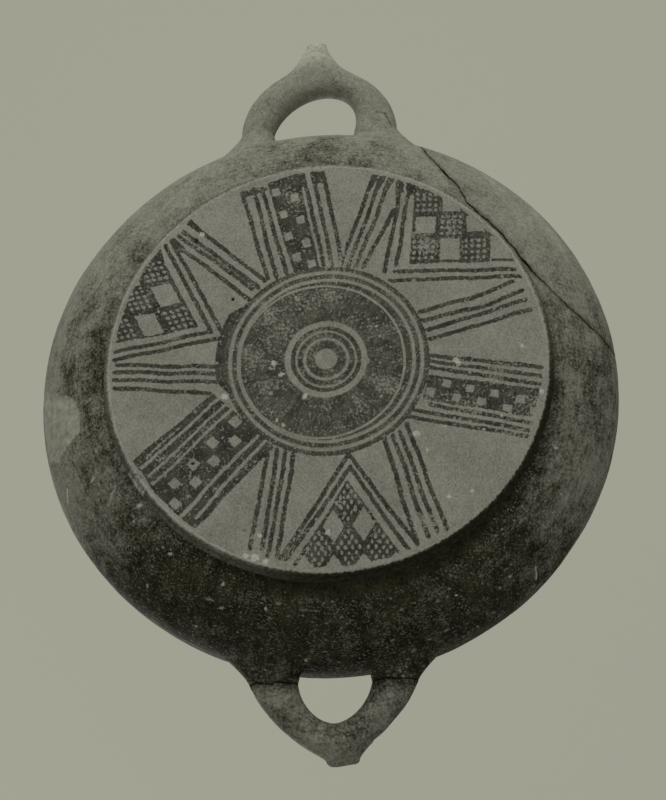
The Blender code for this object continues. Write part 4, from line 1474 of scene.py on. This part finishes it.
def handle_material(name, broken):
    """The same worn paint on a handle, darkened with old dirt along the break where there is one, and with a
    dark hairline where there is none."""
    recipe = Recipe(name, roughness=0.82, gloss=0.03)
    colour, cover = worn_paint(recipe)
    if broken:
        edge = recipe.measure("break") + recipe.sway(1.4, 3.0, 4.0, 0.7)
        colour = recipe.mix(recipe.spread(edge, (0.1, 0.9), give=(0.85, 0.0)), colour, CRACK_DIRT)
    else:
        plan = recipe.vector("MULTIPLY", recipe.place, (1.0, 1.0, 0.0))
        corners = [np.array([*corner, 0.0]) * MM for corner in ARM_HAIRLINE]
        for start, end in zip(corners[:-1], corners[1:]):
            mark = line_mark(recipe, plan, start, end, HAIRLINE_HALF)
            colour = recipe.mix(mark * HAIRLINE_STRENGTH, colour, CRACK_DIRT)
    return recipe.finish(colour, cover, WALL_PAINT_DEPTH)


# Stage: camera, floor, backdrop and soft light, in metres

CAMERA_PLACE = (-0.2853, 0.0455, -0.6461)
CAMERA_AHEAD = (0.3800, -0.0588, 0.9231)
CAMERA_UP = (0.9247, 0.0473, -0.3777)
CAMERA_LENS = 73.65
CAMERA_REACH = 30.0

GROUND_HEIGHT = -0.0006
GROUND_HALF = 30.0
GROUND_COLOUR = (0.31, 0.31, 0.267)
GROUND_GLOW = (0.20, 0.20, 0.172)
BACKDROP_PLACE = (0.5, -0.08, 1.2)
BACKDROP_FACING = (-0.12, 0.0, -1.0)
BACKDROP_HALF = 1.6
BACKDROP_COLOUR = (0.11, 0.11, 0.088)
BACKDROP_GLOW = (0.267, 0.267, 0.218)
ROOM_COLOUR = (0.36, 0.36, 0.308)
ROOM_LIGHT = (1.0, 1.0, 0.985)
ROOM_STRENGTH = 0.48

# Lamps by the direction in which they hang, their distance and size in metres and their power in watts
LAMPS = {"front_lamp": (0.75, -0.12, -0.60), "top_lamp": (-0.30, -0.50, 0.80)}
LAMP_DISTANCE = 1.5
LAMP_SIZE = 1.1
LAMP_POWER = 20.0


def add_camera():
    camera = bpy.data.objects.new("camera", bpy.data.cameras.new("camera"))
    camera.data.sensor_width = 36.0
    camera.data.lens = CAMERA_LENS
    camera.data.clip_end = CAMERA_REACH
    ahead, up = Vector(CAMERA_AHEAD).normalized(), Vector(CAMERA_UP)
    right = ahead.cross(up).normalized()
    up = right.cross(ahead)
    turn = Matrix((right, up, -ahead)).transposed()
    camera.matrix_world = Matrix.Translation(CAMERA_PLACE) @ turn.to_4x4()
    bpy.context.scene.collection.objects.link(camera)
    bpy.context.scene.camera = camera


def linked(tree, kind, *sources, **settings):
    """The first output of a new node whose inputs are linked, in order, to the sources."""
    made = tree.nodes.new(kind)
    for name, value in settings.items():
        setattr(made, name, value)
    for source, socket in zip(sources, made.inputs):
        tree.links.new(source, socket)
    return made.outputs[0]


def one_sided(name, colour, glow):
    """A matt sheet that is seen and lit from its front only, and glows a little by itself."""
    material = bpy.data.materials.new(name)
    material.use_nodes = True
    tree = material.node_tree
    shader = tree.nodes["Principled BSDF"]
    shader.inputs["Base Color"].default_value = (*colour, 1.0)
    shader.inputs["Roughness"].default_value = 0.9
    shader.inputs["Specular IOR Level"].default_value = 0.1
    shader.inputs["Emission Color"].default_value = (*glow, 1.0)
    shader.inputs["Emission Strength"].default_value = 1.0
    clear = linked(tree, "ShaderNodeBsdfTransparent")
    back = tree.nodes.new("ShaderNodeNewGeometry").outputs["Backfacing"]
    either = linked(tree, "ShaderNodeMixShader", back, shader.outputs[0], clear)
    tree.links.new(either, tree.nodes["Material Output"].inputs["Surface"])
    return material


def add_sheet(name, place, facing, half_size, material):
    """A large flat sheet, facing the given way, that neither blocks nor gives light."""
    facing = Vector(facing).normalized()
    side = Vector((0.0, 1.0, 0.0)).cross(facing).normalized() * half_size
    along = facing.cross(side).normalized() * half_size
    place = Vector(place)
    corners = [place - side - along, place + side - along, place + side + along, place - side + along]
    mesh = bpy.data.meshes.new(name)
    mesh.from_pydata([tuple(corner) for corner in corners], [], [(0, 1, 2, 3)])
    mesh.update()
    if mesh.polygons[0].normal.dot(facing) < 0:
        mesh.flip_normals()
    mesh.materials.append(material)
    sheet = bpy.data.objects.new(name, mesh)
    for kind in ("visible_shadow", "visible_diffuse", "visible_glossy", "visible_transmission"):
        setattr(sheet, kind, False)
    bpy.context.scene.collection.objects.link(sheet)


def add_lamp(name, direction):
    """A large square lamp that looks at the dish from the given direction."""
    lamp = bpy.data.lights.new(name, "AREA")
    lamp.shape = "SQUARE"
    lamp.size = LAMP_SIZE
    lamp.energy = LAMP_POWER
    hung = bpy.data.objects.new(name, lamp)
    away = Vector(direction).normalized()
    turn = away.to_track_quat("Z", "Y").to_matrix().to_4x4()
    hung.matrix_world = Matrix.Translation(away * LAMP_DISTANCE) @ turn
    hung.visible_camera = False
    bpy.context.scene.collection.objects.link(hung)


def set_world():
    """Pale surroundings: the colour that is seen, and softer light than that on the dish."""
    world = bpy.data.worlds.new("pale_room")
    bpy.context.scene.world = world
    world.use_nodes = True
    tree = world.node_tree
    tree.nodes.clear()
    rays = tree.nodes.new("ShaderNodeLightPath").outputs
    seen = rays["Is Camera Ray"]
    for kind in ("Is Transmission Ray", "Is Glossy Ray"):
        seen = linked(tree, "ShaderNodeMath", seen, rays[kind], operation="MAXIMUM")
    shades = []
    for colour, strength in ((ROOM_LIGHT, ROOM_STRENGTH), (ROOM_COLOUR, 1.0)):
        shade = tree.nodes.new("ShaderNodeBackground")
        shade.inputs["Color"].default_value = (*colour, 1.0)
        shade.inputs["Strength"].default_value = strength
        shades.append(shade.outputs[0])
    chosen = linked(tree, "ShaderNodeMixShader", seen, *shades)
    tree.links.new(chosen, tree.nodes.new("ShaderNodeOutputWorld").inputs["Surface"])


def set_stage():
    add_camera()
    floor = one_sided("pale_floor", GROUND_COLOUR, GROUND_GLOW)
    add_sheet("floor", (0.0, 0.0, GROUND_HEIGHT), (0.0, 0.0, 1.0), GROUND_HALF, floor)
    backdrop = one_sided("pale_backdrop", BACKDROP_COLOUR, BACKDROP_GLOW)
    add_sheet("backdrop", BACKDROP_PLACE, BACKDROP_FACING, BACKDROP_HALF, backdrop)
    set_world()
    for name, direction in LAMPS.items():
        add_lamp(name, direction)
    bpy.context.scene.view_settings.view_transform = "Standard"


def main():
    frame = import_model()
    set_stage()
    make_dish(dish_material())
    make_foot(foot_material())
    make_upper_handle(handle_material("worn_upper_handle", broken=False))
    lower = handle_material("worn_lower_handle", broken=True)
    make_lower_handle(lower, handle_material("painted_lower_roots", broken=True))


main()
